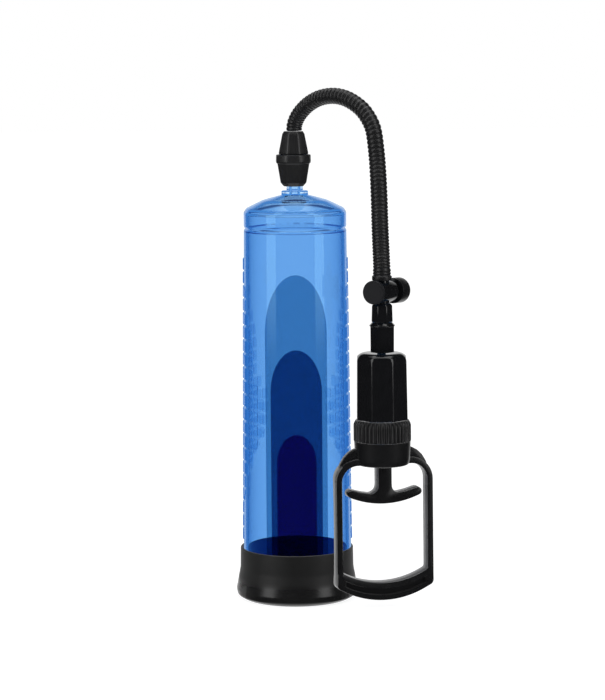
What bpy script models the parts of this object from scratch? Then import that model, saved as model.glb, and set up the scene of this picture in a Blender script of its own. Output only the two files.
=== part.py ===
"""Hand vacuum pump with a clear cylinder, a ribbed hose and a loop handle.

Metres, +Z up. The cylinder stands on its base sleeve, on z = 0. The pump hangs on the hose beside it.
Dimensions below are in millimetres and are turned into metres when vertices are made.
"""

import math

import bmesh
import bpy
from mathutils import Matrix, Vector

for old in list(bpy.data.objects):
    bpy.data.objects.remove(old, do_unlink=True)

MM = 0.001
GAP = 0.3  # clearance kept between pieces that touch

# where the two axes stand
TUBE_X, TUBE_Y = -19.90, 5.95
PUMP_X, PUMP_Y = TUBE_X + 46.5, TUBE_Y - 30.0
HANDLE_TURN = math.radians(15.5)  # the loop and the finger pull are turned this far about the pump axis

# clear cylinder
TUBE_BOTTOM, TUBE_SHOULDER, TUBE_TOP = 6.0, 205.2, 206.4
TUBE_R_LOW, TUBE_R_TOP = 30.0, 28.3  # outside radius at the sleeve's rim and at the shoulder
TUBE_WALL = 2.2
BLOCK_RISE = 0.45
BLOCK_PITCH, BLOCK_HEIGHT = 7.55, 6.3
BLOCK_FIRST_Z, BLOCK_ROWS = 36.0, 21
BLOCK_REACH, BLOCK_CELLS = math.radians(15.0), 2  # half the angle that a side block spans, and its facets

# base sleeve
SLEEVE_TOP = 28.3
SLEEVE_BORE = 30.5
SLEEVE_MOUTH = 21.0

# end cap
CAP_R = 28.3
NECK_R, NECK_TOP, NECK_BORE = 4.5, 243.5, 2.0
SEAL_Z = 237.0

# coupling
COUPLING_BOTTOM, COUPLING_TOP = 229.6, 259.7

# hose
HOSE_D = 8.7
HOSE_LOW = 187.3

# release valve: its cross barrel points along VALVE_DIR at VALVE_Z, its front end slightly up
VALVE_Z = 173.85
VALVE_DIR = Vector((-0.514586, -0.856415, 0.041876)).normalized()
VALVE_BORE = 3.0

# pump
FLANGE_TOP = 157.4
BARREL_TOP, BARREL_LOW = 140.7, 104.2
BARREL_BORE, BORE_TOP = 10.5, 135.0
SPIGOT_R, SPIGOT_LOW = 12.4, 84.4
COLLAR_R, RIDGES = 15.7, 36
HUB_TOP, HUB_LOW, HUB_FLOOR = 92.4, 79.5, 84.1

# loop handle
LOOP_HALF, LOOP_INNER = 27.4, 24.2
LOOP_DEPTH = 8.5
LOOP_CORNER = 9.0
LOOP_BOTTOM, LOOP_INNER_BOTTOM = 4.3, 14.0
LOOP_BOTTOM_R, LOOP_INNER_R = 50.0, 48.0

# finger pull
PULL_HALF = 21.9
PULL_LOW, PULL_R = 57.9, 50.0
PULL_DEPTH = 8.0
ROD_WIDTH = 7.8
ROD_TOP = 124.7


def finish_material(name, colour, rough, alpha=1.0):
    m = bpy.data.materials.new(name)
    m.use_nodes = True
    b = m.node_tree.nodes["Principled BSDF"]
    b.inputs["Base Color"].default_value = (*colour, 1.0)
    b.inputs["Roughness"].default_value = rough
    b.inputs["Metallic"].default_value = 0.0
    b.inputs["Alpha"].default_value = alpha
    m.diffuse_color = (*colour, alpha)
    return m


CLEAR = ((0.10, 0.36, 0.80), 0.06, 0.45)
GLOSS_BLACK = ((0.010, 0.010, 0.011), 0.22, 1.0)
SATIN_BLACK = ((0.016, 0.016, 0.017), 0.45, 1.0)
RUBBER_BLACK = ((0.020, 0.020, 0.021), 0.62, 1.0)
SEAL_BLACK = ((0.012, 0.012, 0.012), 0.7, 1.0)
STEEL = ((0.55, 0.55, 0.56), 0.3, 1.0)


def add_object(name, bm, at, finish, smooth=35.0):
    """One object from a bmesh in metres, with its origin at the given point in millimetres."""
    bmesh.ops.recalc_face_normals(bm, faces=bm.faces)
    mesh = bpy.data.meshes.new(name)
    bm.to_mesh(mesh)
    bm.free()
    mesh.shade_smooth()
    mesh.set_sharp_from_angle(angle=math.radians(smooth))
    ob = bpy.data.objects.new(name, mesh)
    bpy.context.scene.collection.objects.link(ob)
    ob.location = Vector(at) * MM
    if finish is not None:
        colour, rough, alpha = finish
        m = finish_material(name, colour, rough, alpha)
        if finish is STEEL:
            m.node_tree.nodes["Principled BSDF"].inputs["Metallic"].default_value = 1.0
        mesh.materials.append(m)
    return ob


def combine(ob, other, operation):
    """Boolean with a hidden helper object."""
    other.hide_render = True
    other.display_type = "WIRE"
    mod = ob.modifiers.new(operation.lower() + "_" + other.name, "BOOLEAN")
    mod.operation = operation
    mod.solver = "EXACT"
    mod.object = other


def turned(profile, steps, closed=True):
    """A turned shape about Z from (radius, z) points in millimetres."""
    bm = bmesh.new()
    vs = [bm.verts.new((r * MM, 0.0, z * MM)) for r, z in profile]
    es = [bm.edges.new((vs[i], vs[i + 1])) for i in range(len(vs) - 1)]
    if closed:
        es.append(bm.edges.new((vs[-1], vs[0])))
    bmesh.ops.spin(
        bm,
        geom=vs + es,
        cent=(0, 0, 0),
        axis=(0, 0, 1),
        dvec=(0, 0, 0),
        angle=2 * math.pi,
        steps=steps,
        use_merge=True,
        use_duplicate=False,
    )
    bmesh.ops.remove_doubles(bm, verts=bm.verts, dist=1e-7)
    bmesh.ops.dissolve_degenerate(bm, edges=bm.edges, dist=1e-8)
    return bm


def skin(rings, closed_path):
    """Bridges rings of equal count, in millimetres, into one closed body."""
    bm = bmesh.new()
    loops = [[bm.verts.new(Vector(p) * MM) for p in ring] for ring in rings]
    n, m = len(loops[0]), len(loops)
    for i in range(m if closed_path else m - 1):
        a, b = loops[i], loops[(i + 1) % m]
        for k in range(n):
            bm.faces.new((a[k], a[(k + 1) % n], b[(k + 1) % n], b[k]))
    if not closed_path:
        bm.faces.new(loops[0])
        bm.faces.new(loops[-1])
    return bm


def turn_to(bm, direction):
    """Turns a shape made about Z so that its axis lies along the direction."""
    rot = Vector((0, 0, 1)).rotation_difference(direction).to_matrix().to_4x4()
    bmesh.ops.transform(bm, matrix=rot, verts=bm.verts)
    return bm


def spin_about_z(bm, angle):
    bmesh.ops.transform(bm, matrix=Matrix.Rotation(angle, 4, "Z"), verts=bm.verts)
    return bm


def torus(mean, minor, steps, sides, z=0.0):
    ring = [
        (mean + minor * math.cos(2 * math.pi * k / sides), z + minor * math.sin(2 * math.pi * k / sides))
        for k in range(sides)
    ]
    return turned(ring, steps)


# ---------------------------------------------------------------- eight-sided sections


def octagon_angles(per_flat=2, corner_span=7.0):
    """Angles of the points of an eight-sided ring: close together at the corners, spread on the flats."""
    out = []
    for k in range(8):
        corner = 22.5 + 45.0 * k
        out += [corner - corner_span / 2, corner, corner + corner_span / 2]
        rest = 45.0 - corner_span
        out += [corner + corner_span / 2 + rest * (j + 1) / per_flat for j in range(per_flat - 1)]
    return [math.radians(a) for a in out]


OCT = octagon_angles()


def octagon(apothem, z, soft=0.0):
    """Eight-sided ring with one flat facing -Y; its corners are eased, and soft blends it to a circle."""
    ring = []
    for a in OCT:
        off = (a + math.pi / 8) % (math.pi / 4) - math.pi / 8
        edge = math.pi / 8 - abs(off)
        r = apothem / math.cos(off)
        ease = max(0.0, 1.0 - edge / math.radians(3.5))
        r -= 0.018 * apothem * ease
        r = (1 - soft) * r + soft * apothem * 1.035
        ring.append((r * math.cos(a), r * math.sin(a), z))
    return ring


def circle(radius, z, angles=None):
    return [(radius * math.cos(a), radius * math.sin(a), z) for a in (angles or OCT)]


# ---------------------------------------------------------------- flat outlines


def arc(cx, cz, r, a0, a1, n):
    """Points from angle a0 to a1, in degrees, about (cx, cz)."""
    return [
        (
            cx + r * math.cos(math.radians(a0 + (a1 - a0) * k / n)),
            cz + r * math.sin(math.radians(a0 + (a1 - a0) * k / n)),
        )
        for k in range(n + 1)
    ]


def inset(outline, d):
    """The outline, counterclockwise in (x, z), moved inwards by d."""
    n = len(outline)
    out = []
    for k in range(n):
        p0, p, p1 = (Vector(outline[(k + j) % n]) for j in (-1, 0, 1))
        e0, e1 = (p - p0).normalized(), (p1 - p).normalized()
        n0, n1 = Vector((-e0.y, e0.x)), Vector((-e1.y, e1.x))
        mid = (n0 + n1).normalized()
        out.append(tuple(p + mid * (d / max(0.35, mid.dot(n0)))))
    return out


def slab(outline, depth, chamfer):
    """An outline in the XZ plane, extruded along Y about the plane, with chamfered front and back edges."""
    small = inset(outline, chamfer)
    half = depth / 2
    rings = [
        [(x, -half, z) for x, z in small],
        [(x, -half + chamfer, z) for x, z in outline],
        [(x, half - chamfer, z) for x, z in outline],
        [(x, half, z) for x, z in small],
    ]
    return skin(rings, False)


# ---------------------------------------------------------------- clear cylinder

TUBE_AT = (TUBE_X, TUBE_Y, 0.0)
PUMP_AT = (PUMP_X, PUMP_Y, 0.0)


def tube_radius(z):
    return TUBE_R_TOP + (TUBE_R_LOW - TUBE_R_TOP) * (TUBE_SHOULDER - z) / (TUBE_SHOULDER - SLEEVE_TOP)


tube = add_object(
    "tube",
    turned(
        [
            (tube_radius(TUBE_BOTTOM) - 0.5, TUBE_BOTTOM),
            (tube_radius(TUBE_BOTTOM + 0.5), TUBE_BOTTOM + 0.5),
            (tube_radius(SLEEVE_TOP), SLEEVE_TOP),
            (TUBE_R_TOP, TUBE_SHOULDER),
            (TUBE_R_TOP - 0.7, TUBE_TOP),
            (TUBE_R_TOP - TUBE_WALL, TUBE_TOP),
            (tube_radius(TUBE_BOTTOM) - TUBE_WALL, TUBE_BOTTOM),
        ],
        48,
    ),
    TUBE_AT,
    CLEAR,
)

blocks = bmesh.new()
for row in range(BLOCK_ROWS):
    z0 = BLOCK_FIRST_Z + BLOCK_PITCH * row - BLOCK_HEIGHT / 2
    z1 = z0 + BLOCK_HEIGHT
    for side in (0.0, math.pi):
        sections = []
        for k in range(BLOCK_CELLS + 1):
            a = side + BLOCK_REACH * (2 * k / BLOCK_CELLS - 1)
            c, s = math.cos(a), math.sin(a)
            sections.append(
                [
                    blocks.verts.new(Vector((r * c, r * s, z)) * MM)
                    for r, z in (
                        (tube_radius(z0) - 1.0, z0),
                        (tube_radius(z0) + BLOCK_RISE, z0),
                        (tube_radius(z1) + BLOCK_RISE, z1),
                        (tube_radius(z1) - 1.0, z1),
                    )
                ]
            )
        for a, b in zip(sections, sections[1:]):
            for k in range(4):
                blocks.faces.new((a[k], a[(k + 1) % 4], b[(k + 1) % 4], b[k]))
        blocks.faces.new(sections[0])
        blocks.faces.new(sections[-1])
combine(tube, add_object("grip_blocks", blocks, TUBE_AT, None), "UNION")

dome_cap = add_object(
    "dome_cap",
    turned(
        [
            (25.8, 203.0),
            (25.8, 206.7),
            (CAP_R - 0.7, 206.7),
            (CAP_R, 207.9),
            (CAP_R, 215.5),
            (27.1, 217.4),
            (18.0, 221.7),
            (7.4, 224.8),
            (7.4, 227.2),
            (NECK_R, 227.2),
            (NECK_R, SEAL_Z - 0.9),
            (3.1, SEAL_Z - 0.9),
            (3.1, SEAL_Z + 0.9),
            (NECK_R, SEAL_Z + 0.9),
            (NECK_R, NECK_TOP - 0.5),
            (NECK_R - 0.5, NECK_TOP),
            (NECK_BORE, NECK_TOP),
            (NECK_BORE, 222.4),
            (16.0, 219.3),
            (22.4, 216.0),
            (23.8, 213.6),
            (23.8, 203.0),
        ],
        36,
    ),
    TUBE_AT,
    CLEAR,
)

base_sleeve = add_object(
    "base_sleeve",
    turned(
        [
            (22.0, 0.0),
            (29.7, 0.0),
            (31.8, 0.7),
            (33.3, 2.3),
            (33.8, 5.0),
            (33.4, 8.0),
            (32.0, 14.4),
            (31.5, 18.5),
            (31.4, SLEEVE_TOP - 0.4),
            (31.1, SLEEVE_TOP),
            (SLEEVE_BORE, SLEEVE_TOP),
            (SLEEVE_BORE, TUBE_BOTTOM - GAP),
            (SLEEVE_MOUTH, TUBE_BOTTOM - GAP),
            (SLEEVE_MOUTH, 1.0),
        ],
        40,
    ),
    TUBE_AT,
    RUBBER_BLACK,
)

# ---------------------------------------------------------------- swivel coupling

coupling_seal = add_object("coupling_seal", torus(3.95, 0.65, 20, 6), (TUBE_X, TUBE_Y, SEAL_Z), SEAL_BLACK)

coupling_body = add_object(
    "coupling_body",
    skin(
        [
            octagon(5.4, COUPLING_BOTTOM, 0.5),
            octagon(6.1, 230.2, 0.5),
            octagon(6.9, 231.8, 0.4),
            octagon(8.4, 241.6, 0.4),
            circle(9.5, 242.2),
            circle(10.0, 242.8),
            circle(10.0, 246.3),
            circle(9.5, 246.9),
            circle(8.2, 247.0),
            circle(NECK_R + GAP, 247.0),
            circle(NECK_R + GAP, COUPLING_BOTTOM),
        ],
        True,
    ),
    TUBE_AT,
    SATIN_BLACK,
)

coupling_nut = add_object(
    "coupling_nut",
    skin(
        [
            circle(4.4, NECK_TOP + 0.5),
            circle(4.4, 247.3),
            octagon(7.9, 247.3, 0.4),
            octagon(7.85, 248.3, 0.4),
            octagon(6.1, 258.0, 0.4),
            octagon(5.7, 259.2, 0.5),
            octagon(5.2, COUPLING_TOP, 0.5),
            circle(1.8, COUPLING_TOP),
            circle(1.8, NECK_TOP + 0.5),
        ],
        True,
    ),
    TUBE_AT,
    SATIN_BLACK,
)

# ---------------------------------------------------------------- hose

SLOPE = (PUMP_Y - TUBE_Y) / (PUMP_X - TUBE_X)  # the hose bends in one upright plane through both axes
ROUTE = [
    (0.0, COUPLING_TOP + GAP),
    (0.0, 262.0),
    (0.5, 264.4),
    (1.9, 267.6),
    (4.4, 271.1),
    (8.4, 274.9),
    (14.0, 278.0),
    (20.8, 279.3),
    (27.5, 278.2),
    (33.7, 274.8),
    (38.5, 270.0),
    (42.5, 262.0),
    (44.5, 249.7),
    (45.4, 236.9),
    (45.9, 223.9),
    (46.2, 206.6),
    (46.45, 194.0),
    (46.5, HOSE_LOW),
]


def smooth_route(points, count):
    """Evenly spaced points on a smooth curve through the route's own points."""
    pts = [Vector(p) for p in points]
    pts = [2 * pts[0] - pts[1]] + pts + [2 * pts[-1] - pts[-2]]
    fine = []
    for i in range(1, len(pts) - 2):
        p0, p1, p2, p3 = pts[i - 1 : i + 3]
        for k in range(24):
            t = k / 24
            fine.append(
                0.5
                * (
                    2 * p1
                    + (p2 - p0) * t
                    + (2 * p0 - 5 * p1 + 4 * p2 - p3) * t * t
                    + (3 * p1 - p0 - 3 * p2 + p3) * t * t * t
                )
            )
    fine.append(pts[-2])
    run = [0.0]
    for a, b in zip(fine, fine[1:]):
        run.append(run[-1] + (b - a).length)
    out, j = [], 0
    for k in range(count):
        want = run[-1] * k / (count - 1)
        while j < len(run) - 2 and run[j + 1] < want:
            j += 1
        f = (want - run[j]) / (run[j + 1] - run[j])
        out.append(fine[j].lerp(fine[j + 1], min(1.0, max(0.0, f))))
    return out


hose_points = smooth_route([(x, SLOPE * x, z) for x, z in ROUTE], 46)
curve = bpy.data.curves.new("hose", "CURVE")
curve.dimensions = "3D"
curve.bevel_depth = HOSE_D / 2 * MM
curve.bevel_resolution = 3
curve.use_fill_caps = True
spline = curve.splines.new("POLY")
spline.points.add(len(hose_points) - 1)
for p, q in zip(spline.points, hose_points):
    p.co = (q.x * MM, q.y * MM, q.z * MM, 1.0)
spline.use_smooth = True
hose = bpy.data.objects.new("hose", curve)
bpy.context.scene.collection.objects.link(hose)
hose.location = Vector(TUBE_AT) * MM
curve.materials.append(finish_material("hose", *SATIN_BLACK))

hose_cuff = add_object(
    "hose_cuff",
    turned(
        [
            (4.2, 180.2),
            (5.4, 180.2),
            (5.4, 182.4),
            (4.95, 182.8),
            (5.0, 186.4),
            (4.6, 187.0),
            (1.5, 187.0),
            (1.5, 181.9),
            (4.2, 181.9),
        ],
        28,
    ),
    PUMP_AT,
    SATIN_BLACK,
)

# ---------------------------------------------------------------- release valve

VALVE_AT = (PUMP_X, PUMP_Y, VALVE_Z)

valve_body = add_object(
    "valve_body",
    skin(
        [
            circle(3.2, 150.6),
            circle(3.2, FLANGE_TOP + GAP),
            octagon(5.75, FLANGE_TOP + GAP),
            octagon(5.5, 166.3),
            octagon(4.9, 167.2),
            circle(4.0, 167.4),
            circle(4.0, 181.2),
            circle(3.6, 181.6),
        ],
        False,
    ),
    PUMP_AT,
    GLOSS_BLACK,
)
cross = turned([(0, -8.3), (5.55, -8.3), (5.9, -7.9), (5.9, 6.9), (5.55, 7.3), (0, 7.3)], 28, closed=False)
combine(valve_body, add_object("cross_barrel", turn_to(cross, VALVE_DIR), VALVE_AT, None), "UNION")
cut = turned([(0, -13.0), (VALVE_BORE, -13.0), (VALVE_BORE, 9.0), (0, 9.0)], 24, closed=False)
combine(valve_body, add_object("cross_bore", turn_to(cut, VALVE_DIR), VALVE_AT, None), "DIFFERENCE")
cut = turned([(0, 149.0), (1.3, 149.0), (1.3, 184.0), (0, 184.0)], 12, closed=False)
combine(valve_body, add_object("air_way", cut, PUMP_AT, None), "DIFFERENCE")

RING_S = (2.9, -5.6)  # where the two spool rings sit along the cross barrel
spool_profile = [(0, 9.95), (5.95, 9.95), (6.45, 9.45), (6.45, 7.9), (6.15, 7.6), (2.7, 7.6)]
for s in RING_S:
    if s < 0:
        spool_profile += [(2.7, 1.7), (1.7, 1.3), (1.7, -1.3), (2.7, -1.7)]
    spool_profile += [(2.7, s + 0.6), (1.85, s + 0.6), (1.85, s - 0.6), (2.7, s - 0.6)]
spool_profile += [(2.7, -11.5), (1.7, -11.5), (1.7, -18.4), (0, -18.4)]
spool = add_object("spool", turn_to(turned(spool_profile, 20, closed=False), VALVE_DIR), VALVE_AT, GLOSS_BLACK)

for name, s in zip(("spool_o_ring_front", "spool_o_ring_rear"), RING_S):
    add_object(name, turn_to(torus(2.38, 0.4, 18, 6, s), VALVE_DIR), VALVE_AT, SEAL_BLACK)

rear_knob = add_object(
    "rear_knob",
    turn_to(
        turned(
            [
                (2.0, -11.8),
                (6.6, -11.8),
                (7.0, -12.2),
                (7.0, -19.4),
                (6.3, -20.1),
                (0, -20.1),
                (0, -18.8),
                (2.0, -18.8),
            ],
            28,
            closed=True,
        ),
        VALVE_DIR,
    ),
    VALVE_AT,
    GLOSS_BLACK,
)

# ---------------------------------------------------------------- outlet and check valve


outlet_fitting = add_object(
    "outlet_fitting",
    skin(
        [
            circle(4.0, BARREL_TOP - 4.0),
            circle(4.0, BARREL_TOP + GAP),
            circle(5.0, BARREL_TOP + GAP),
            circle(5.0, 141.2),
            octagon(6.15, 141.5),
            octagon(6.4, 142.0),
            octagon(6.4, 155.0),
            circle(7.0, 155.3),
            circle(7.0, 155.8),
            circle(5.4, FLANGE_TOP),
            circle(4.8, FLANGE_TOP),
            circle(4.8, 156.2),
            circle(3.5, 156.2),
            circle(3.5, 150.3),
            circle(1.5, 150.3),
            circle(1.5, 146.3),
            circle(3.3, 146.3),
            circle(3.3, BARREL_TOP - 4.0),
        ],
        True,
    ),
    PUMP_AT,
    GLOSS_BLACK,
)

outlet_seal = add_object(
    "outlet_seal",
    turned([(3.5, 156.5), (4.7, 156.5), (4.7, 157.35), (3.5, 157.35)], 20),
    PUMP_AT,
    SEAL_BLACK,
)


def bill(rx, ry, z):
    return [
        (rx * math.cos(2 * math.pi * k / 12), ry * math.sin(2 * math.pi * k / 12), z) for k in range(12)
    ]


inlet_check_valve = add_object(
    "inlet_check_valve",
    skin(
        [
            bill(1.4, 1.4, 146.0),
            bill(3.0, 3.0, 146.0),
            bill(3.0, 3.0, 144.7),
            bill(2.4, 2.4, 144.7),
            bill(2.4, 2.4, 142.6),
            bill(2.4, 0.9, 138.4),
            bill(1.9, 0.25, 138.4),
            bill(1.5, 1.3, 142.6),
        ],
        True,
    ),
    PUMP_AT,
    SEAL_BLACK,
)

# ---------------------------------------------------------------- pump barrel and collar

pump_barrel = add_object(
    "pump_barrel",
    skin(
        [
            octagon(11.3, BARREL_TOP),
            octagon(12.4, BARREL_TOP - 0.4),
            octagon(13.1, BARREL_TOP - 1.3),
            octagon(13.5, BARREL_TOP - 2.6),
            octagon(13.8, BARREL_LOW),
            circle(SPIGOT_R, BARREL_LOW),
            circle(SPIGOT_R, SPIGOT_LOW + 0.5),
            circle(SPIGOT_R - 0.5, SPIGOT_LOW),
            circle(BARREL_BORE, SPIGOT_LOW),
            circle(BARREL_BORE, BORE_TOP),
            circle(4.3, BORE_TOP),
            circle(4.3, BARREL_TOP),
        ],
        True,
    ),
    PUMP_AT,
    GLOSS_BLACK,
)


def ridged(peak, root, z):
    n = RIDGES * 2
    ring = []
    for k in range(n):
        a = 2 * math.pi * (k + 0.5) / n
        r = root if k % 2 else peak
        ring.append((r * math.cos(a), r * math.sin(a), z))
    return ring


screw_collar = add_object(
    "screw_collar",
    skin(
        [
            ridged(SPIGOT_R + GAP, SPIGOT_R + GAP, 103.9),
            ridged(14.3, 14.3, 103.9),
            ridged(COLLAR_R, 14.9, 101.6),
            ridged(COLLAR_R, 14.9, 93.6),
            ridged(15.0, 14.9, HUB_TOP + GAP),
            ridged(SPIGOT_R + GAP, SPIGOT_R + GAP, HUB_TOP + GAP),
        ],
        True,
    ),
    PUMP_AT,
    GLOSS_BLACK,
    smooth=25.0,
)

# ---------------------------------------------------------------- loop handle


def loop_pairs():
    """Outer and inner outline points of the loop in the XZ plane, paired, once around from the top."""
    outer, inner = [], []
    wide = LOOP_HALF - LOOP_INNER
    cx, cz = LOOP_INNER - LOOP_CORNER, HUB_LOW - LOOP_CORNER

    def pair(o, i):
        outer.append(o)
        inner.append(i)

    pair((0.0, HUB_LOW + wide), (0.0, HUB_LOW))
    n = 6
    for o, i in zip(
        arc(cx, cz, LOOP_CORNER + wide, 90, 0, n),
        arc(cx, cz, LOOP_CORNER, 90, 0, n),
    ):
        pair(o, i)
    leg_low = 22.0
    pair((LOOP_HALF, 45.0), (LOOP_INNER, 45.0))
    pair((LOOP_HALF, leg_low), (LOOP_INNER, leg_low))
    steps = 6
    for k in range(steps + 1):
        f = 1.0 - k / steps
        xi = (LOOP_INNER - 1.0) * f
        zi = LOOP_INNER_BOTTOM + LOOP_INNER_R - math.sqrt(LOOP_INNER_R**2 - xi * xi)
        xo = (LOOP_HALF - 1.6) * f
        zo = LOOP_BOTTOM + LOOP_BOTTOM_R - math.sqrt(LOOP_BOTTOM_R**2 - xo * xo)
        if k == 0:
            pair((LOOP_HALF - 0.1, zo + 3.6), (LOOP_INNER - 0.05, zi + 1.2))
        pair((xo, zo), (xi, zi))
    right_o, right_i = outer[:], inner[:]
    for o, i in zip(reversed(right_o[1:-1]), reversed(right_i[1:-1])):
        pair((-o[0], o[1]), (-i[0], i[1]))
    return outer, inner


def loop_band(depth, chamfer):
    rings = []
    half = depth / 2
    for (ox, oz), (ix, iz) in zip(*loop_pairs()):
        o, i = Vector((ox, oz)), Vector((ix, iz))
        d = (i - o).normalized() * chamfer
        rings.append(
            [
                (p.x, y, p.y)
                for p, y in (
                    (o + d, -half),
                    (i - d, -half),
                    (i, -half + chamfer),
                    (i, half - chamfer),
                    (i - d, half),
                    (o + d, half),
                    (o, half - chamfer),
                    (o, -half + chamfer),
                )
            ]
        )
    return skin(rings, True)


handle_frame = add_object(
    "handle_frame",
    spin_about_z(loop_band(LOOP_DEPTH, 0.6), HANDLE_TURN),
    PUMP_AT,
    GLOSS_BLACK,
)
hub = turned(
    [
        (0, HUB_LOW - 0.25),
        (13.6, HUB_LOW - 0.25),
        (14.5, HUB_LOW + 0.6),
        (14.9, HUB_LOW + 2.2),
        (15.6, HUB_TOP - 0.4),
        (15.2, HUB_TOP),
        (0, HUB_TOP),
    ],
    36,
    closed=False,
)
combine(handle_frame, add_object("hub", hub, PUMP_AT, None), "UNION")
for side in (1, -1):
    outline = [(9.0, 81.2), (9.0, 88.7), (13.0, 88.9), (16.2, 88.3), (19.3, 86.6), (22.0, 83.9), (24.1, 80.4)]
    outline += [(25.5, 76.4), (26.1, 72.0), (25.2, 70.5), (24.6, 72.0), (23.3, 76.0), (20.6, 79.4), (16.0, 81.2)]
    outline = [(side * x, z) for x, z in outline]
    if side > 0:
        outline.reverse()
    web = spin_about_z(slab(outline, 5.2, 0.4), HANDLE_TURN)
    combine(handle_frame, add_object("web_right" if side > 0 else "web_left", web, PUMP_AT, None), "UNION")
bore = turned(
    [
        (0, HUB_LOW - 3.0),
        (7.0, HUB_LOW - 3.0),
        (7.0, HUB_FLOOR),
        (SPIGOT_R + GAP, HUB_FLOOR),
        (SPIGOT_R + GAP, HUB_TOP + 3.0),
        (0, HUB_TOP + 3.0),
    ],
    36,
    closed=False,
)
combine(handle_frame, add_object("hub_bore", bore, PUMP_AT, None), "DIFFERENCE")

# shallow channel along the front and back of the loop's lower bar
channel = []
reach = 20.0
for k in range(9):
    x = -reach + 2 * reach * k / 8
    channel.append((x, 8.2 + 46.0 - math.sqrt(46.0**2 - x * x)))
for k in range(9):
    x = reach - 2 * reach * k / 8
    channel.append((x, 11.4 + 46.0 - math.sqrt(46.0**2 - x * x)))
for side, y in (("front", -LOOP_DEPTH / 2), ("back", LOOP_DEPTH / 2)):
    bm = slab(channel, 2.4, 0.2)
    bmesh.ops.translate(bm, vec=Vector((0, y, 0)) * MM, verts=bm.verts)
    combine(
        handle_frame,
        add_object("channel_" + side, spin_about_z(bm, HANDLE_TURN), PUMP_AT, None),
        "DIFFERENCE",
    )

# ---------------------------------------------------------------- rod guide, spring, plunger

rod_guide = add_object(
    "rod_guide",
    turned(
        [
            (0, 79.8),
            (6.4, 79.8),
            (6.7, 80.1),
            (6.7, SPIGOT_LOW),
            (10.2, SPIGOT_LOW),
            (10.2, SPIGOT_LOW + 1.8),
            (0, SPIGOT_LOW + 1.8),
        ],
        28,
        closed=False,
    ),
    PUMP_AT,
    SATIN_BLACK,
)
hw, hd = (ROD_WIDTH + 2 * GAP) / 2, (PULL_DEPTH + 2 * GAP) / 2
window = skin(
    [[(-hw, -hd, z), (hw, -hd, z), (hw, hd, z), (-hw, hd, z)] for z in (76.0, 90.0)],
    False,
)
combine(rod_guide, add_object("rod_window", spin_about_z(window, HANDLE_TURN), PUMP_AT, None), "DIFFERENCE")

WIRE_R, COIL_R = 0.55, 6.4
coil_low, coil_high = SPIGOT_LOW + 1.8 + GAP + WIRE_R, ROD_TOP - WIRE_R
END_TURNS, END_PITCH, MID_TURNS = 1.0, 1.3, 4.5
coil_points = []
total = 2 * END_TURNS + MID_TURNS
mid_pitch = (coil_high - coil_low - 2 * END_TURNS * END_PITCH) / MID_TURNS
for k in range(int(total * 12) + 1):
    t = k / 12
    if t < END_TURNS:
        z = coil_low + END_PITCH * t
    elif t < END_TURNS + MID_TURNS:
        z = coil_low + END_PITCH * END_TURNS + mid_pitch * (t - END_TURNS)
    else:
        z = coil_high - END_PITCH * (total - t)
    coil_points.append((COIL_R * math.cos(2 * math.pi * t), COIL_R * math.sin(2 * math.pi * t), z))
curve = bpy.data.curves.new("return_spring", "CURVE")
curve.dimensions = "3D"
curve.bevel_depth = WIRE_R * MM
curve.bevel_resolution = 1
curve.use_fill_caps = True
spline = curve.splines.new("POLY")
spline.points.add(len(coil_points) - 1)
for p, q in zip(spline.points, coil_points):
    p.co = (q[0] * MM, q[1] * MM, q[2] * MM, 1.0)
return_spring = bpy.data.objects.new("return_spring", curve)
bpy.context.scene.collection.objects.link(return_spring)
return_spring.location = Vector(PUMP_AT) * MM
steel = finish_material("return_spring", STEEL[0], STEEL[1])
steel.node_tree.nodes["Principled BSDF"].inputs["Metallic"].default_value = 1.0
curve.materials.append(steel)


def pull_outline():
    """The finger pull and its rod in one outline, counterclockwise: a smile-shaped bar under a straight rod."""

    def low(x):
        return PULL_LOW + PULL_R - math.sqrt(PULL_R**2 - x * x)

    tip, thick_mid, thick_tip = PULL_HALF - 2.2, 5.2, 4.4
    right = []
    for k in range(9):
        x = tip * k / 8
        right.append((x, low(x)))
    slope = tip / math.sqrt(PULL_R**2 - tip**2)
    ang = math.degrees(math.atan(slope))
    nx, nz = -math.sin(math.radians(ang)), math.cos(math.radians(ang))
    cx, cz = tip + nx * thick_tip / 2, low(tip) + nz * thick_tip / 2
    right += arc(cx, cz, thick_tip / 2, ang - 90 + 30, ang + 90, 5)
    for k in range(1, 6):
        f = 1 - k / 6
        x = 7.0 + (tip + nx * thick_tip - 7.0) * f
        right.append((x, low(x) + thick_mid + (thick_tip + 0.5 - thick_mid) * f))
    half = ROD_WIDTH / 2
    right += [(6.0, low(6.0) + thick_mid + 0.25), (4.6, low(6.0) + thick_mid + 1.2)]
    right += [(half + 0.25, low(6.0) + thick_mid + 2.9), (half, low(6.0) + thick_mid + 4.6)]
    right += [(half, ROD_TOP - 0.5), (half - 0.5, ROD_TOP)]
    return right + [(-x, z) for x, z in reversed(right[1:])]


pull_handle = add_object(
    "pull_handle",
    spin_about_z(slab(pull_outline(), PULL_DEPTH, 0.7), HANDLE_TURN),
    PUMP_AT,
    GLOSS_BLACK,
)
cut = turned([(0, 114.0), (1.6, 114.0), (1.6, ROD_TOP + 2.0), (0, ROD_TOP + 2.0)], 20, closed=False)
combine(pull_handle, add_object("screw_hole", cut, PUMP_AT, None), "DIFFERENCE")

piston = add_object(
    "piston",
    turned(
        [(1.6, 125.0), (9.7, 125.0), (10.0, 125.25), (10.0, 125.7), (8.3, 125.7), (8.3, 129.0), (1.6, 129.0)],
        32,
    ),
    PUMP_AT,
    SATIN_BLACK,
)

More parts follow.
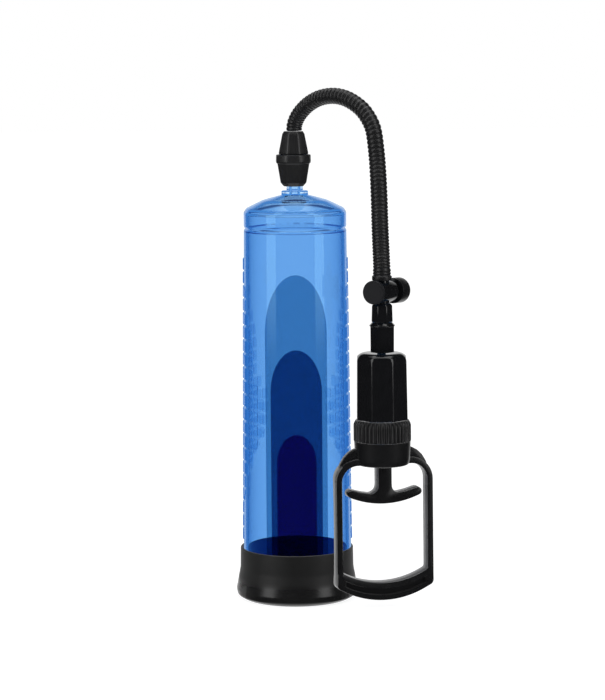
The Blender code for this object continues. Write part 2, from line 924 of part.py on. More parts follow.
piston_cup = add_object(
    "piston_cup",
    turned(
        [
            (1.6, 129.3),
            (8.6, 129.3),
            (8.8, 126.4),
            (9.7, 126.0),
            (10.2, 126.3),
            (9.8, 129.4),
            (9.2, 130.7),
            (1.6, 130.7),
        ],
        32,
    ),
    PUMP_AT,
    SEAL_BLACK,
)

piston_screw = add_object(
    "piston_screw",
    turned(
        [(0, 132.8), (2.2, 132.8), (3.2, 132.0), (3.2, 131.0), (1.3, 131.0), (1.3, 115.2), (0.7, 114.5), (0, 114.5)],
        16,
        closed=False,
    ),
    PUMP_AT,
    STEEL,
)

bpy.context.view_layer.update()
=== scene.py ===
"""Looks of a hand vacuum pump with a clear cylinder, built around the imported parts.

Lengths in the shape code are millimetres in the part's own frame and become metres when vertices are made.
"""

import math

import bmesh
import bpy
import numpy as np
from mathutils import Matrix, Vector, geometry


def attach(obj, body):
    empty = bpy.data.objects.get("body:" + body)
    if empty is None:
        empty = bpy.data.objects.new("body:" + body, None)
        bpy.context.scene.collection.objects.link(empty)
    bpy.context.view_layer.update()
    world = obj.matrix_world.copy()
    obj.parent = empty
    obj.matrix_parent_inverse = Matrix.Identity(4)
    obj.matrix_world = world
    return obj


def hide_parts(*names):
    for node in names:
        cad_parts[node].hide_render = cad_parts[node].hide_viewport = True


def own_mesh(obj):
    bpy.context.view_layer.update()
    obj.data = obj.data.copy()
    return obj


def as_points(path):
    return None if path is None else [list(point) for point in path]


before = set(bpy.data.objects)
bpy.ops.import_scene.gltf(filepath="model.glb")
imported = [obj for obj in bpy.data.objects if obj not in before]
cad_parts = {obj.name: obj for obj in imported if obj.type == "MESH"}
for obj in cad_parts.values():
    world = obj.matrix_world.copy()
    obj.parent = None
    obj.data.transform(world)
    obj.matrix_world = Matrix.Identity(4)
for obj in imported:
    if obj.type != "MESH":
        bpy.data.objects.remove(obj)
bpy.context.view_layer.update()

MM = 0.001
scene = bpy.context.scene

# the two axes and the turn of the loop about the pump's axis
TUBE_X, TUBE_Y = -19.90, 5.95
PUMP_X, PUMP_Y = TUBE_X + 46.5, TUBE_Y - 30.0
HANDLE_TURN = math.radians(15.5)
TUBE_AT = Vector((TUBE_X, TUBE_Y, 0.0))
PUMP_AT = Vector((PUMP_X, PUMP_Y, 0.0))

# ---------------------------------------------------------------- camera

camera_data = bpy.data.cameras.new("camera")
camera_data.sensor_width = 36.0
camera_data.lens = 138.3
camera_data.clip_start, camera_data.clip_end = 0.05, 60.0
camera = bpy.data.objects.new("camera", camera_data)
scene.collection.objects.link(camera)
camera.matrix_world = (
    Matrix.Translation((-0.0163, -1.47405, 0.324))
    @ Matrix.Rotation(math.radians(90.0 - 7.14), 4, "X")
    @ Matrix.Rotation(math.radians(-0.45), 4, "Z")
)
scene.camera = camera

# ---------------------------------------------------------------- shape helpers


def rounded(points, seg=4, closed=True):
    """Corner points (r, z, fillet, shape) as a dense outline of (r, z, shape), each fillet as an arc."""
    out, n = [], len(points)
    for k, (r, z, fillet, shape) in enumerate(points):
        p = Vector((r, z))
        if fillet <= 0 or (not closed and k in (0, n - 1)):
            out.append((r, z, shape))
            continue
        a, b = Vector(points[k - 1][:2]) - p, Vector(points[(k + 1) % n][:2]) - p
        la, lb = a.length, b.length
        a, b = a / la, b / lb
        between = math.acos(max(-1.0, min(1.0, a.dot(b))))
        if between > math.pi - 0.02:
            out.append((r, z, shape))
            continue
        t = min(fillet / math.tan(between / 2), 0.48 * la, 0.48 * lb)
        radius = t * math.tan(between / 2)
        centre = p + (a + b).normalized() * (radius / math.sin(between / 2))
        v0, v1 = p + a * t - centre, p + b * t - centre
        turn = math.copysign(math.pi - between, v0.x * v1.y - v0.y * v1.x)
        for j in range(seg + 1):
            c, s = math.cos(turn * j / seg), math.sin(turn * j / seg)
            out.append((centre.x + v0.x * c - v0.y * s, centre.y + v0.x * s + v0.y * c, shape))
    return out


def rounded2(points, seg=4):
    """As rounded(), for a closed flat outline of (x, z, fillet)."""
    return [(x, z) for x, z, _ in rounded([(*p, 0) for p in points], seg)]


def octagon_points(ease, arc_steps=4):
    """A ring of unit apothem with eight flats and eased corners, one flat facing -Y, as (x, y)."""
    out = []
    for k in range(8):
        corner = math.radians(22.5 + 45.0 * k)
        far = (1.0 - ease) / math.cos(math.pi / 8)
        cx, cy = far * math.cos(corner), far * math.sin(corner)
        for j in range(arc_steps + 1):
            a = corner + math.radians(-22.5 + 45.0 * j / arc_steps)
            out.append((cx + ease * math.cos(a), cy + ease * math.sin(a)))
        flat = corner + math.pi / 8
        out.append((math.cos(flat), math.sin(flat)))
    return out


def mixed_ring(unit):
    """A ring maker: shape 1 follows the unit outline, shape 0 a circle, with points at the same angles."""

    def make(r, z, shape):
        ring = []
        for x, y in unit:
            a = math.atan2(y, x)
            ring.append(
                Vector(
                    (
                        r * ((1 - shape) * math.cos(a) + shape * x),
                        r * ((1 - shape) * math.sin(a) + shape * y),
                        z,
                    )
                )
            )
        return ring

    return make


def round_ring(steps):
    def make(r, z, shape):
        return [Vector((r * math.cos(2 * math.pi * k / steps), r * math.sin(2 * math.pi * k / steps), z)) for k in range(steps)]

    return make


def loft(rings, closed_path):
    """Bridges rings of equal count into one closed body, in metres. An open path is closed by a fan at each end."""
    bm = bmesh.new()
    loops = [[bm.verts.new(p * MM) for p in ring] for ring in rings]
    n, m = len(loops[0]), len(loops)
    for i in range(m if closed_path else m - 1):
        a, b = loops[i], loops[(i + 1) % m]
        for k in range(n):
            bm.faces.new((a[k], a[(k + 1) % n], b[(k + 1) % n], b[k]))
    if not closed_path:
        for loop in (loops[0], loops[-1]):
            middle = bm.verts.new(sum((v.co for v in loop), Vector()) / n)
            for k in range(n):
                bm.faces.new((loop[k], loop[(k + 1) % n], middle))
    bmesh.ops.remove_doubles(bm, verts=bm.verts, dist=1e-8)
    return bm


def turned(points, ring, seg=4, closed=True):
    """A turned shape from corner points (r, z, fillet, shape) about Z."""
    outline = rounded(points, seg, closed)
    return loft([ring(max(r, 0.0), z, s) for r, z, s in outline], closed)


def inset(outline, d):
    """A closed flat outline, counterclockwise in (x, z), moved inwards by d."""
    n, out = len(outline), []
    for k in range(n):
        p0, p, p1 = (Vector(outline[(k + j) % n]) for j in (-1, 0, 1))
        e0, e1 = (p - p0).normalized(), (p1 - p).normalized()
        n0, n1 = Vector((-e0.y, e0.x)), Vector((-e1.y, e1.x))
        mid = (n0 + n1).normalized()
        out.append(tuple(p + mid * (d / max(0.5, mid.dot(n0)))))
    return out


def turn_to(bm, direction):
    rot = Vector((0, 0, 1)).rotation_difference(direction).to_matrix().to_4x4()
    bmesh.ops.transform(bm, matrix=rot, verts=bm.verts)
    return bm


def spin(bm, angle):
    bmesh.ops.transform(bm, matrix=Matrix.Rotation(angle, 4, "Z"), verts=bm.verts)
    return bm


def make_object(name, bm, at=(0, 0, 0), sharp=32.0):
    """One object at the origin with its place in its vertices."""
    bmesh.ops.translate(bm, vec=Vector(at) * MM, verts=bm.verts)
    bmesh.ops.recalc_face_normals(bm, faces=bm.faces)
    if bm.calc_volume(signed=True) < -1e-12:
        print("turned outwards:", name)
        bmesh.ops.reverse_faces(bm, faces=bm.faces)
    mesh = bpy.data.meshes.new(name)
    bm.to_mesh(mesh)
    bm.free()
    mesh.shade_smooth()
    mesh.set_sharp_from_angle(angle=math.radians(sharp))
    ob = bpy.data.objects.new(name, mesh)
    scene.collection.objects.link(ob)
    return ob


def combine(ob, other, operation, sharp=32.0):
    """Joins or cuts ob with a helper object, which is then removed."""
    mod = ob.modifiers.new("combine", "BOOLEAN")
    mod.operation = operation
    mod.solver = "EXACT"
    mod.object = other
    bpy.context.view_layer.update()
    dg = bpy.context.evaluated_depsgraph_get()
    mesh = bpy.data.meshes.new_from_object(ob.evaluated_get(dg))
    ob.modifiers.clear()
    ob.data = mesh
    bpy.data.objects.remove(other, do_unlink=True)
    bm = bmesh.new()
    bm.from_mesh(mesh)
    bmesh.ops.remove_doubles(bm, verts=bm.verts, dist=2e-7)
    bmesh.ops.dissolve_degenerate(bm, edges=bm.edges, dist=1e-7)
    bm.to_mesh(mesh)
    bm.free()
    mesh.shade_smooth()
    mesh.set_sharp_from_angle(angle=math.radians(sharp))
    return ob


def place(ob, body, nodes, material):
    """Puts a piece on its body in the place of CAD nodes, with its finish."""
    slots = [face.material_index for face in ob.data.polygons]
    ob.data.materials.clear()
    for m in material if isinstance(material, list) else [material]:
        ob.data.materials.append(m)
    ob.data.polygons.foreach_set("material_index", slots)
    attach(ob, body)
    if nodes:
        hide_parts(*nodes)
    return ob


# ---------------------------------------------------------------- materials


class Tree:
    """A small helper around one material's nodes."""

    def __init__(self, name):
        self.material = bpy.data.materials.new(name)
        self.material.use_nodes = True
        self.nodes = self.material.node_tree.nodes
        self.links = self.material.node_tree.links
        self.bsdf = self.nodes["Principled BSDF"]
        self.place = self.nodes.new("ShaderNodeTexCoord").outputs["Object"]

    def plain(self, **values):
        for name, value in values.items():
            self.bsdf.inputs[name.replace("_", " ")].default_value = value

    def stretched(self, scale):
        node = self.nodes.new("ShaderNodeMapping")
        node.inputs["Scale"].default_value = scale
        self.links.new(self.place, node.inputs["Vector"])
        return node.outputs["Vector"]

    def noise(self, scale, detail=3.0, rough=0.55, vector=None):
        node = self.nodes.new("ShaderNodeTexNoise")
        node.inputs["Scale"].default_value = scale
        node.inputs["Detail"].default_value = detail
        node.inputs["Roughness"].default_value = rough
        self.links.new(vector or self.place, node.inputs["Vector"])
        return node.outputs["Fac"]

    def voronoi(self, scale, vector=None):
        node = self.nodes.new("ShaderNodeTexVoronoi")
        node.inputs["Scale"].default_value = scale
        self.links.new(vector or self.place, node.inputs["Vector"])
        return node.outputs["Distance"]

    def span(self, value, low, high, to_low=0.0, to_high=1.0, smooth=False):
        node = self.nodes.new("ShaderNodeMapRange")
        node.interpolation_type = "SMOOTHSTEP" if smooth else "LINEAR"
        self.links.new(value, node.inputs["Value"])
        for name, v in (("From Min", low), ("From Max", high), ("To Min", to_low), ("To Max", to_high)):
            node.inputs[name].default_value = v
        return node.outputs["Result"]

    def maths(self, operation, a, b=None):
        node = self.nodes.new("ShaderNodeMath")
        node.operation = operation
        for socket, v in zip(node.inputs, (a, b)):
            if v is None:
                continue
            if isinstance(v, (int, float)):
                socket.default_value = v
            else:
                self.links.new(v, socket)
        return node.outputs[0]

    def mix(self, factor, a, b, blend="MIX"):
        node = self.nodes.new("ShaderNodeMix")
        node.data_type = "RGBA"
        node.blend_type = blend
        for socket, v in ((node.inputs["Factor"], factor), (node.inputs[6], a), (node.inputs[7], b)):
            if isinstance(v, (int, float)):
                socket.default_value = v
            elif isinstance(v, tuple):
                socket.default_value = (*v, 1.0)
            else:
                self.links.new(v, socket)
        return node.outputs[2]

    def bump(self, height, strength, distance, below=None):
        node = self.nodes.new("ShaderNodeBump")
        node.inputs["Strength"].default_value = strength
        node.inputs["Distance"].default_value = distance
        self.links.new(height, node.inputs["Height"])
        if below is not None:
            self.links.new(below, node.inputs["Normal"])
        return node.outputs["Normal"]

    def give(self, name, socket):
        self.links.new(socket, self.bsdf.inputs[name])


def moulded_black(name, dark, light, rough, grain, grain_depth, wave_depth, streaks=0.0, specular=0.5, polish=None):
    """Black moulded plastic or rubber: cloudy tone, fine grain, a slow surface wave and faint wipe marks.

    polish is (height, height, roughness) in millimetres: duller by that much above those heights.
    """
    t = Tree(name)
    cloud = t.noise(160.0, 4.0, 0.6)
    speck = t.span(t.noise(3000.0, 2.0, 0.5), 0.66, 0.74, 0.0, 0.3)
    tone = t.mix(t.span(cloud, 0.3, 0.7), dark, light)
    t.give("Base Color", t.mix(speck, tone, tuple(1.3 * c for c in light)))
    marks = t.noise(1.0, 3.0, 0.6, t.stretched((900.0, 900.0, 70.0)))
    level = t.maths("ADD", t.span(cloud, 0.3, 0.7, rough[0], rough[1]), t.span(marks, 0.5, 0.75, 0.0, streaks))
    if polish:
        split = t.nodes.new("ShaderNodeSeparateXYZ")
        t.links.new(t.place, split.inputs[0])
        level = t.maths("ADD", level, t.span(split.outputs["Z"], polish[0] * MM, polish[1] * MM, 0.0, polish[2], True))
    t.give("Roughness", level)
    wave = t.bump(t.noise(110.0, 2.0, 0.5), 0.25, wave_depth)
    t.give("Normal", t.bump(t.noise(grain, 3.0, 0.6), 0.35, grain_depth, wave))
    t.plain(IOR=1.5, Specular_IOR_Level=specular)
    return t.material


RUBBER = moulded_black("black_rubber", (0.0072, 0.0072, 0.0075), (0.0092, 0.0092, 0.0095), (0.25, 0.27), 2600.0, 0.000004, 0.000006, 0.01, 0.43, polish=(9.0, 13.0, 0.25))
SEAL = moulded_black("seal_rubber", (0.0105, 0.0105, 0.0108), (0.0150, 0.0150, 0.0152), (0.58, 0.70), 3400.0, 0.00002, 0.00002)
SATIN = moulded_black("satin_black", (0.0135, 0.0135, 0.0142), (0.0160, 0.0160, 0.0167), (0.31, 0.37), 3200.0, 0.000010, 0.00002, 0.03)
HOSE_BLACK = moulded_black("hose_black", (0.0080, 0.0080, 0.0086), (0.0100, 0.0100, 0.0106), (0.34, 0.40), 3600.0, 0.000006, 0.00001, 0.02)
GLOSS = moulded_black("gloss_black", (0.0050, 0.0052, 0.0060), (0.0062, 0.0064, 0.0074), (0.10, 0.14), 1500.0, 0.000002, 0.000012, 0.03)
LOOP_BLACK = moulded_black("loop_black", (0.0056, 0.0057, 0.0062), (0.0070, 0.0071, 0.0077), (0.22, 0.28), 2200.0, 0.000003, 0.000008, 0.02, 0.38)
DISC_BLACK = moulded_black("disc_black", (0.0078, 0.0080, 0.0098), (0.0094, 0.0096, 0.0116), (0.50, 0.58), 2600.0, 0.000008, 0.000008, 0.02, 0.25)
COLLAR_BLACK = moulded_black("collar_black", (0.0050, 0.0051, 0.0057), (0.0062, 0.0063, 0.0070), (0.28, 0.34), 2200.0, 0.000003, 0.000010, 0.02, 0.40)
HUB_BLACK = moulded_black("hub_black", (0.0060, 0.0061, 0.0067), (0.0074, 0.0075, 0.0082), (0.30, 0.36), 2200.0, 0.000003, 0.000012, 0.02, 0.30)
# painted reflection: a light grey for faces that see the white surroundings edge on, such as the loop's side faces, the
# tops of the bars and the sides of the rod
LOOP_PAINTED_SHEEN = moulded_black("loop_painted_sheen", (0.110, 0.110, 0.112), (0.128, 0.128, 0.130), (0.26, 0.32), 2200.0, 0.000003, 0.000012, 0.02, 0.8)
# painted shade: a dull black that reflects almost nothing, for the recess along the lower bar, standing in for the
# shade inside it
CHANNEL_PAINTED_SHADE = moulded_black("channel_painted_shade", (0.0066, 0.0066, 0.0070), (0.0078, 0.0078, 0.0083), (0.55, 0.65), 2200.0, 0.000003, 0.000006, 0.0, 0.06)
# painted blue light: a navy tint for the sleeve's inner faces, standing in for the blue light that the clear tube
# carries onto them
PAINTED_BLUE_LIGHT = moulded_black("rubber_painted_blue_light", (0.020, 0.003, 0.30), (0.024, 0.004, 0.34), (0.55, 0.65), 2600.0, 0.00001, 0.00002, 0.0, 0.05)


def drawn_steel():
    t = Tree("spring_steel")
    grain = t.noise(1.0, 3.0, 0.6, t.stretched((2600.0, 2600.0, 300.0)))
    t.give("Base Color", t.mix(t.span(grain, 0.3, 0.7), (0.46, 0.46, 0.47), (0.60, 0.60, 0.61)))
    t.give("Roughness", t.span(grain, 0.3, 0.7, 0.24, 0.38))
    t.give("Normal", t.bump(grain, 0.2, 0.00001))
    t.plain(Metallic=1.0)
    return t.material


STEEL = drawn_steel()

WALL_TINT = (0.352, 0.598, 0.882)


def clear_blue(name, arches, skin):
    """Clear tinted plastic with a skin that deepens where it is seen edge on.

    arches is True for the tube's outer wall, with three nested tonal arches on its front and painted shade at its top
    groove, False for the cap, with painted shade at its shoulder and groove and painted light on its sloping top, and
    None for plain inner walls.
    """
    wall_tint = tuple(w / c**2 for w, c in zip(WALL_TINT, skin))
    t = Tree(name)
    flow = t.noise(1.0, 2.0, 0.5, t.stretched((55.0, 55.0, 14.0)))
    tint = t.mix(t.span(flow, 0.25, 0.75), tuple(0.985 * c for c in wall_tint), wall_tint)
    split = t.nodes.new("ShaderNodeSeparateXYZ")
    t.links.new(t.place, split.inputs[0])
    side = t.maths("ABSOLUTE", t.maths("SUBTRACT", split.outputs["X"], TUBE_X * MM))
    if arches is False:
        # painted light: the cap's sloping top and neck are tinted lighter
        slope = t.span(split.outputs["Z"], 216.5 * MM, 218.5 * MM)
        tint = t.mix(slope, tint, tuple(min(w * c, 0.98) for w, c in zip(wall_tint, (1.5, 1.25, 1.08))))
        back = t.span(split.outputs["Y"], (TUBE_Y - 1.0) * MM, (TUBE_Y + 4.0) * MM)
        # painted shade: a dark navy line around the cap's shoulder on its sides and back, at a height that rises
        # towards the back
        ends = t.span(side, 6.0 * MM, 24.0 * MM, 0.9, 1.0)
        depth_back = t.span(split.outputs["Y"], TUBE_Y * MM, (TUBE_Y + 28.0) * MM, 215.9 * MM, 220.2 * MM)
        off = t.maths("ABSOLUTE", t.maths("SUBTRACT", split.outputs["Z"], depth_back))
        reach = t.span(split.outputs["Y"], (TUBE_Y - 7.0) * MM, (TUBE_Y - 2.0) * MM)
        shoulder_shade_line = t.maths("MULTIPLY", t.span(off, 0.0007, 0.0013, 1.0, 0.0, True), t.maths("MULTIPLY", reach, ends))
        tint = t.mix(shoulder_shade_line, tint, tuple(w * c for w, c in zip(wall_tint, (0.0004, 0.004, 0.07))))
        # painted shade: the tint deepens below the groove where the cap meets the tube, and a thin dark line, broken
        # into dashes near the middle, runs along the groove on the back
        groove = t.span(split.outputs["Z"], 207.7 * MM, 208.2 * MM, 1.0, 0.0)
        tint = t.mix(groove, tint, tuple(w * c for w, c in zip(wall_tint, (0.80, 0.88, 0.95))))
        dashes = t.span(t.noise(1.0, 1.0, 0.5, t.stretched((220.0, 60.0, 1.0))), 0.42, 0.55)
        groove_shade_line = t.span(t.maths("ABSOLUTE", t.maths("SUBTRACT", split.outputs["Z"], 208.0 * MM)), 0.00022, 0.00045, 1.0, 0.0, True)
        dashes = t.maths("MAXIMUM", t.maths("MULTIPLY", dashes, 0.6), t.span(side, 13.0 * MM, 19.0 * MM))
        groove_shade_line = t.maths("MULTIPLY", t.maths("MULTIPLY", groove_shade_line, back), dashes)
        tint = t.mix(groove_shade_line, tint, tuple(w * c for w, c in zip(wall_tint, (0.03, 0.06, 0.25))))
    if arches:
        front = t.span(split.outputs["Y"], (TUBE_Y - 1.0) * MM, (TUBE_Y + 1.0) * MM, 1.0, 0.0)
        deep = t.maths("SUBTRACT", split.outputs["Y"], TUBE_Y * MM)
        wide = t.maths("SUBTRACT", split.outputs["X"], TUBE_X * MM)
        far = t.maths("SQRT", t.maths("ADD", t.maths("MULTIPLY", deep, deep), t.maths("MULTIPLY", wide, wide)))
        middle = t.span(split.outputs["Z"], 6.0 * MM, 206.4 * MM, 29.1 * MM, 27.2 * MM)
        front = t.maths("MULTIPLY", front, t.maths("GREATER_THAN", far, middle))
        wall = t.span(split.outputs["Z"], 28.3 * MM, 205.2 * MM, 30.0 * MM, 28.3 * MM)
        raised = t.span(t.maths("SUBTRACT", far, wall), 0.00015, 0.00038, smooth=True)
        tint = t.mix(raised, tint, tuple(w * c for w, c in zip(wall_tint, BLOCK_TONE)))
        # painted shade: the tint deepens above the groove at the tube's top, and a thin dark line, fainter in the
        # middle, runs along the groove on the front
        groove = t.span(split.outputs["Z"], 205.0 * MM, 205.4 * MM)
        tint = t.mix(groove, tint, tuple(w * c for w, c in zip(wall_tint, (0.80, 0.88, 0.95))))
        groove_shade_line = t.span(t.maths("ABSOLUTE", t.maths("SUBTRACT", split.outputs["Z"], 205.1 * MM)), 0.0002, 0.00042, 1.0, 0.0, True)
        groove_shade_line = t.maths("MULTIPLY", groove_shade_line, t.span(side, 9.0 * MM, 20.0 * MM, 0.6, 1.0))
        tint = t.mix(t.maths("MULTIPLY", groove_shade_line, front), tint, tuple(w * c for w, c in zip(wall_tint, (0.03, 0.06, 0.25))))
        for half, spring_z, top_z, tone in ARCHES:
            rise = t.span(split.outputs["Z"], spring_z * MM, top_z * MM)
            width = t.maths("SQRT", t.maths("SUBTRACT", 1.0, t.maths("MULTIPLY", rise, rise)))
            edge = t.maths("SUBTRACT", t.maths("MULTIPLY", width, half * MM), side)
            below = t.maths("MULTIPLY", front, t.maths("LESS_THAN", split.outputs["Z"], top_z * MM))
            inside = t.maths("MULTIPLY", t.span(edge, -0.00012, 0.00012, smooth=True), below)
            tint = t.mix(inside, tint, tuple(w * c * c for w, c in zip(wall_tint, tone)))
    t.give("Base Color", tint)
    t.give("Roughness", t.span(t.noise(900.0, 3.0), 0.3, 0.7, 0.004, 0.012))
    t.give("Normal", t.bump(flow, 0.12, 0.00006))
    t.plain(Transmission_Weight=1.0, IOR=1.49, Specular_Tint=(0.50, 0.90, 1.0, 1.0))
    t.plain(Coat_Weight=1.0, Coat_IOR=1.0, Coat_Roughness=0.0, Coat_Tint=(*skin, 1.0))
    return t.material


# half width, height where the curve starts, top, and how much of each colour shows through
ARCHES = [
    (16.9, 150.0, 183.0, (0.26, 0.449, 0.572)),
    (14.1, 118.0, 142.0, (0.0235, 0.079, 0.205)),
    (10.9, 79.0, 95.5, (0.0145, 0.0065, 0.083)),
]
BLOCK_TONE = (0.50, 0.70, 0.86)
BLOCK_PITCH, BLOCK_FIRST_Z, BLOCK_ROWS = 7.55, 36.0, 21
CLEAR = clear_blue("clear_blue", False, (0.968, 0.982, 0.992))
CLEAR_FRONT = clear_blue("clear_blue_arches", True, (0.925, 0.960, 0.982))
CLEAR_INNER = clear_blue("clear_blue_inner", None, (0.860, 0.920, 0.970))

# ---------------------------------------------------------------- clear cylinder

TUBE_BOTTOM, TUBE_SHOULDER, TUBE_TOP = 6.0, 205.2, 206.4
TUBE_R_LOW, TUBE_R_TOP, SLEEVE_TOP = 30.0, 28.3, 28.3
TUBE_WALL = 2.2
BLOCK_RISE, BLOCK_EDGE = 0.60, 0.34
ROW_GAP, COLUMN_GAP = 1.15, 0.4
COLUMNS = (-54.4, -44.7, -35.6, -26.5, -17.5, -8.6, 8.6, 17.5, 26.5, 35.6, 44.7, 54.4)
# half the angle that the grip panel spans, at heights
PANEL = ((30.0, 6.5), (52.0, 10.0), (74.0, 28.0), (81.5, 36.0), (87.5, 44.0), (94.0, 54.4), (116.0, 54.4), (123.5, 44.7), (130.6, 39.5), (145.5, 33.6), (160.0, 28.0), (183.0, 7.5), (195.0, 7.0))
ARC = math.pi / 180.0 * 28.75  # millimetres of arc for a degree
SEGMENTS = 180


def tube_radius(z):
    return TUBE_R_TOP + (TUBE_R_LOW - TUBE_R_TOP) * (TUBE_SHOULDER - z) / (TUBE_SHOULDER - SLEEVE_TOP)


def panel_half(z):
    for (z0, a0), (z1, a1) in zip(PANEL, PANEL[1:]):
        if z0 <= z <= z1:
            return a0 + (a1 - a0) * (z - z0) / (z1 - z0)
    return PANEL[0][1] if z < PANEL[0][0] else PANEL[-1][1]


def clip(polygon, inside, cross):
    out = []
    for k, p in enumerate(polygon):
        q = polygon[(k + 1) % len(polygon)]
        if inside(p):
            out.append(p)
        if inside(p) != inside(q):
            out.append(cross(p, q))
    return out


def cut_corners(polygon, d):
    out = []
    for k, p in enumerate(polygon):
        p = Vector(p)
        for q in (polygon[k - 1], polygon[(k + 1) % len(polygon)]):
            e = Vector(q) - p
            out.append(tuple(p + e.normalized() * min(d, 0.4 * e.length)))
    return out


def grip_blocks():
    """Flat outlines (arc millimetres, z) of the blocks' feet and tops, around both sides."""
    found = []
    for row in range(BLOCK_ROWS):
        zc = BLOCK_FIRST_Z + BLOCK_PITCH * row
        z0, z1 = zc - BLOCK_PITCH / 2 + ROW_GAP / 2, zc + BLOCK_PITCH / 2 - ROW_GAP / 2
        h0, h1 = panel_half(z0) * ARC, panel_half(z1) * ARC
        for c0, c1 in zip(COLUMNS, COLUMNS[1:]):
            u0, u1 = c0 * ARC + COLUMN_GAP / 2, c1 * ARC - COLUMN_GAP / 2
            if c0 == COLUMNS[5]:
                u0, u1 = max(u0, -min(h0, h1)), min(u1, min(h0, h1))
            shape = [(u0, z0), (u1, z0), (u1, z1), (u0, z1)]
            for sign in (1, -1):

                def limit(z):
                    return h0 + (h1 - h0) * (z - z0) / (z1 - z0)

                def inside(p):
                    return sign * p[0] <= limit(p[1]) + 1e-9

                def cross(p, q):
                    fp, fq = sign * p[0] - limit(p[1]), sign * q[0] - limit(q[1])
                    t = fp / (fp - fq)
                    return (p[0] + (q[0] - p[0]) * t, p[1] + (q[1] - p[1]) * t)

                shape = clip(shape, inside, cross) if shape else shape
            if len(shape) < 3:
                continue
            area = 0.5 * sum(a[0] * b[1] - b[0] * a[1] for a, b in zip(shape, shape[1:] + shape[:1]))
            wide = max(p[0] for p in shape) - min(p[0] for p in shape)
            if area < 5.0 or wide < 1.5:
                continue
            foot = cut_corners(shape, 0.75)
            found.append((row, foot, inset(foot, BLOCK_EDGE)))
    return found


def in_convex(p, polygon):
    for a, b in zip(polygon, polygon[1:] + polygon[:1]):
        if (b[0] - a[0]) * (p[1] - a[1]) - (b[1] - a[1]) * (p[0] - a[0]) < -2e-3:
            return False
    return True


def build_tube():
    low_z = TUBE_BOTTOM + 0.5
    points, edges = [], []

    def add_line(a, b):
        points.extend((Vector(a), Vector(b)))
        edges.append((len(points) - 2, len(points) - 1))

    start = 90.0
    for k in range(SEGMENTS + 1):
        u = (start + 360.0 * k / SEGMENTS) * ARC
        add_line((u, low_z), (u, TUBE_SHOULDER))
    for z in (low_z, 30.0, 192.0, TUBE_SHOULDER):
        add_line((start * ARC, z), ((start + 360.0) * ARC, z))
    blocks = []
    for side in (180.0, 360.0):
        for row, foot, top in grip_blocks():
            moved = [[(side * ARC + u, z) for u, z in ring] for ring in (foot, top)]
            blocks.append((row, side, moved[1]))
            for ring in moved:
                base = len(points)
                points.extend(Vector(p) for p in ring)
                edges.extend((base + j, base + (j + 1) % len(ring)) for j in range(len(ring)))
    made, _, faces, *_ = geometry.delaunay_2d_cdt(points, edges, [], 0, 1e-5)
    near = {}
    for row, side, top in blocks:
        near.setdefault((row, side), []).append(top)
    bm = bmesh.new()
    verts, rises = [], []
    for p in made:
        row = round((p.y - BLOCK_FIRST_Z) / BLOCK_PITCH)
        side = 180.0 if p.x < 270.0 * ARC else 360.0
        up = any(in_convex(p, top) for top in near.get((row, side), ()))
        r, a = tube_radius(p.y) + (BLOCK_RISE if up else 0.0), math.radians(p.x / ARC)
        verts.append(bm.verts.new(Vector((r * math.cos(a), r * math.sin(a), p.y)) * MM))
        rises.append(up)
    bm.verts.index_update()
    kind = bm.faces.layers.int.new("kind")
    for f in faces:
        try:
            face = bm.faces.new([verts[i] for i in f])
        except ValueError:
            continue
        up = [rises[i] for i in f]
        face[kind] = 1 if all(up) or not any(up) else 2

    angles = [math.radians(start + 360.0 * k / SEGMENTS) for k in range(SEGMENTS)]
    inner_low, inner_top = tube_radius(TUBE_BOTTOM) - TUBE_WALL, TUBE_R_TOP - TUBE_WALL
    profile = [(TUBE_R_TOP, TUBE_SHOULDER, 0), (28.12, 205.75, 3), (27.6, TUBE_TOP, 3), (inner_top, TUBE_TOP, 3)]
    for k in range(1, 13):
        f = k / 12
        profile.append((inner_top + (inner_low - inner_top) * f, TUBE_TOP + (TUBE_BOTTOM - TUBE_TOP) * f, 4))
    profile += [(tube_radius(TUBE_BOTTOM) - 0.5, TUBE_BOTTOM, 3), (tube_radius(low_z), low_z, 3)]
    rings = [[bm.verts.new(Vector((r * math.cos(a), r * math.sin(a), z)) * MM) for a in angles] for r, z, _ in profile]
    for (a, b), (_, _, how) in zip(zip(rings, rings[1:]), profile[1:]):
        for k in range(SEGMENTS):
            face = bm.faces.new((a[k], b[k], b[(k + 1) % SEGMENTS], a[(k + 1) % SEGMENTS]))
            face[kind] = how
    bmesh.ops.remove_doubles(bm, verts=bm.verts, dist=2e-6)
    bmesh.ops.dissolve_degenerate(bm, edges=bm.edges, dist=1e-7)
    bmesh.ops.recalc_face_normals(bm, faces=bm.faces)
    loose = sum(1 for e in bm.edges if len(e.link_faces) != 2)
    print("clear cylinder:", len(bm.faces), "faces,", loose, "open edges")
    mesh = bpy.data.meshes.new("tube_clear")
    bm.normal_update()
    kinds = [f[kind] for f in bm.faces]
    bmesh.ops.translate(bm, vec=TUBE_AT * MM, verts=bm.verts)
    bm.to_mesh(mesh)
    bm.free()
    mesh.shade_smooth()
    slope = (TUBE_R_LOW - TUBE_R_TOP) / (TUBE_SHOULDER - SLEEVE_TOP)
    normals = []
    for face in mesh.polygons:
        for v in face.vertices:
            co = mesh.vertices[v].co
            out = Vector((co.x - TUBE_X * MM, co.y - TUBE_Y * MM, 0.0)).normalized()
            if kinds[face.index] == 1:
                normals.append((out + Vector((0, 0, slope))).normalized())
            elif kinds[face.index] == 4:
                normals.append(-(out + Vector((0, 0, slope))).normalized())
            elif kinds[face.index] == 2:
                n = face.normal
                normals.append((0.93 * out + 0.07 * Vector((n.x, n.y, 0.5 * n.z))).normalized())
            else:
                normals.append(face.normal.copy())
    mesh.normals_split_custom_set(normals)
    for face in mesh.polygons:
        face.material_index = 1 if kinds[face.index] == 4 else 0
    ob = bpy.data.objects.new("tube_clear", mesh)
    scene.collection.objects.link(ob)
    return ob


tube = place(build_tube(), "cylinder", ["tube"], [CLEAR_FRONT, CLEAR_INNER])

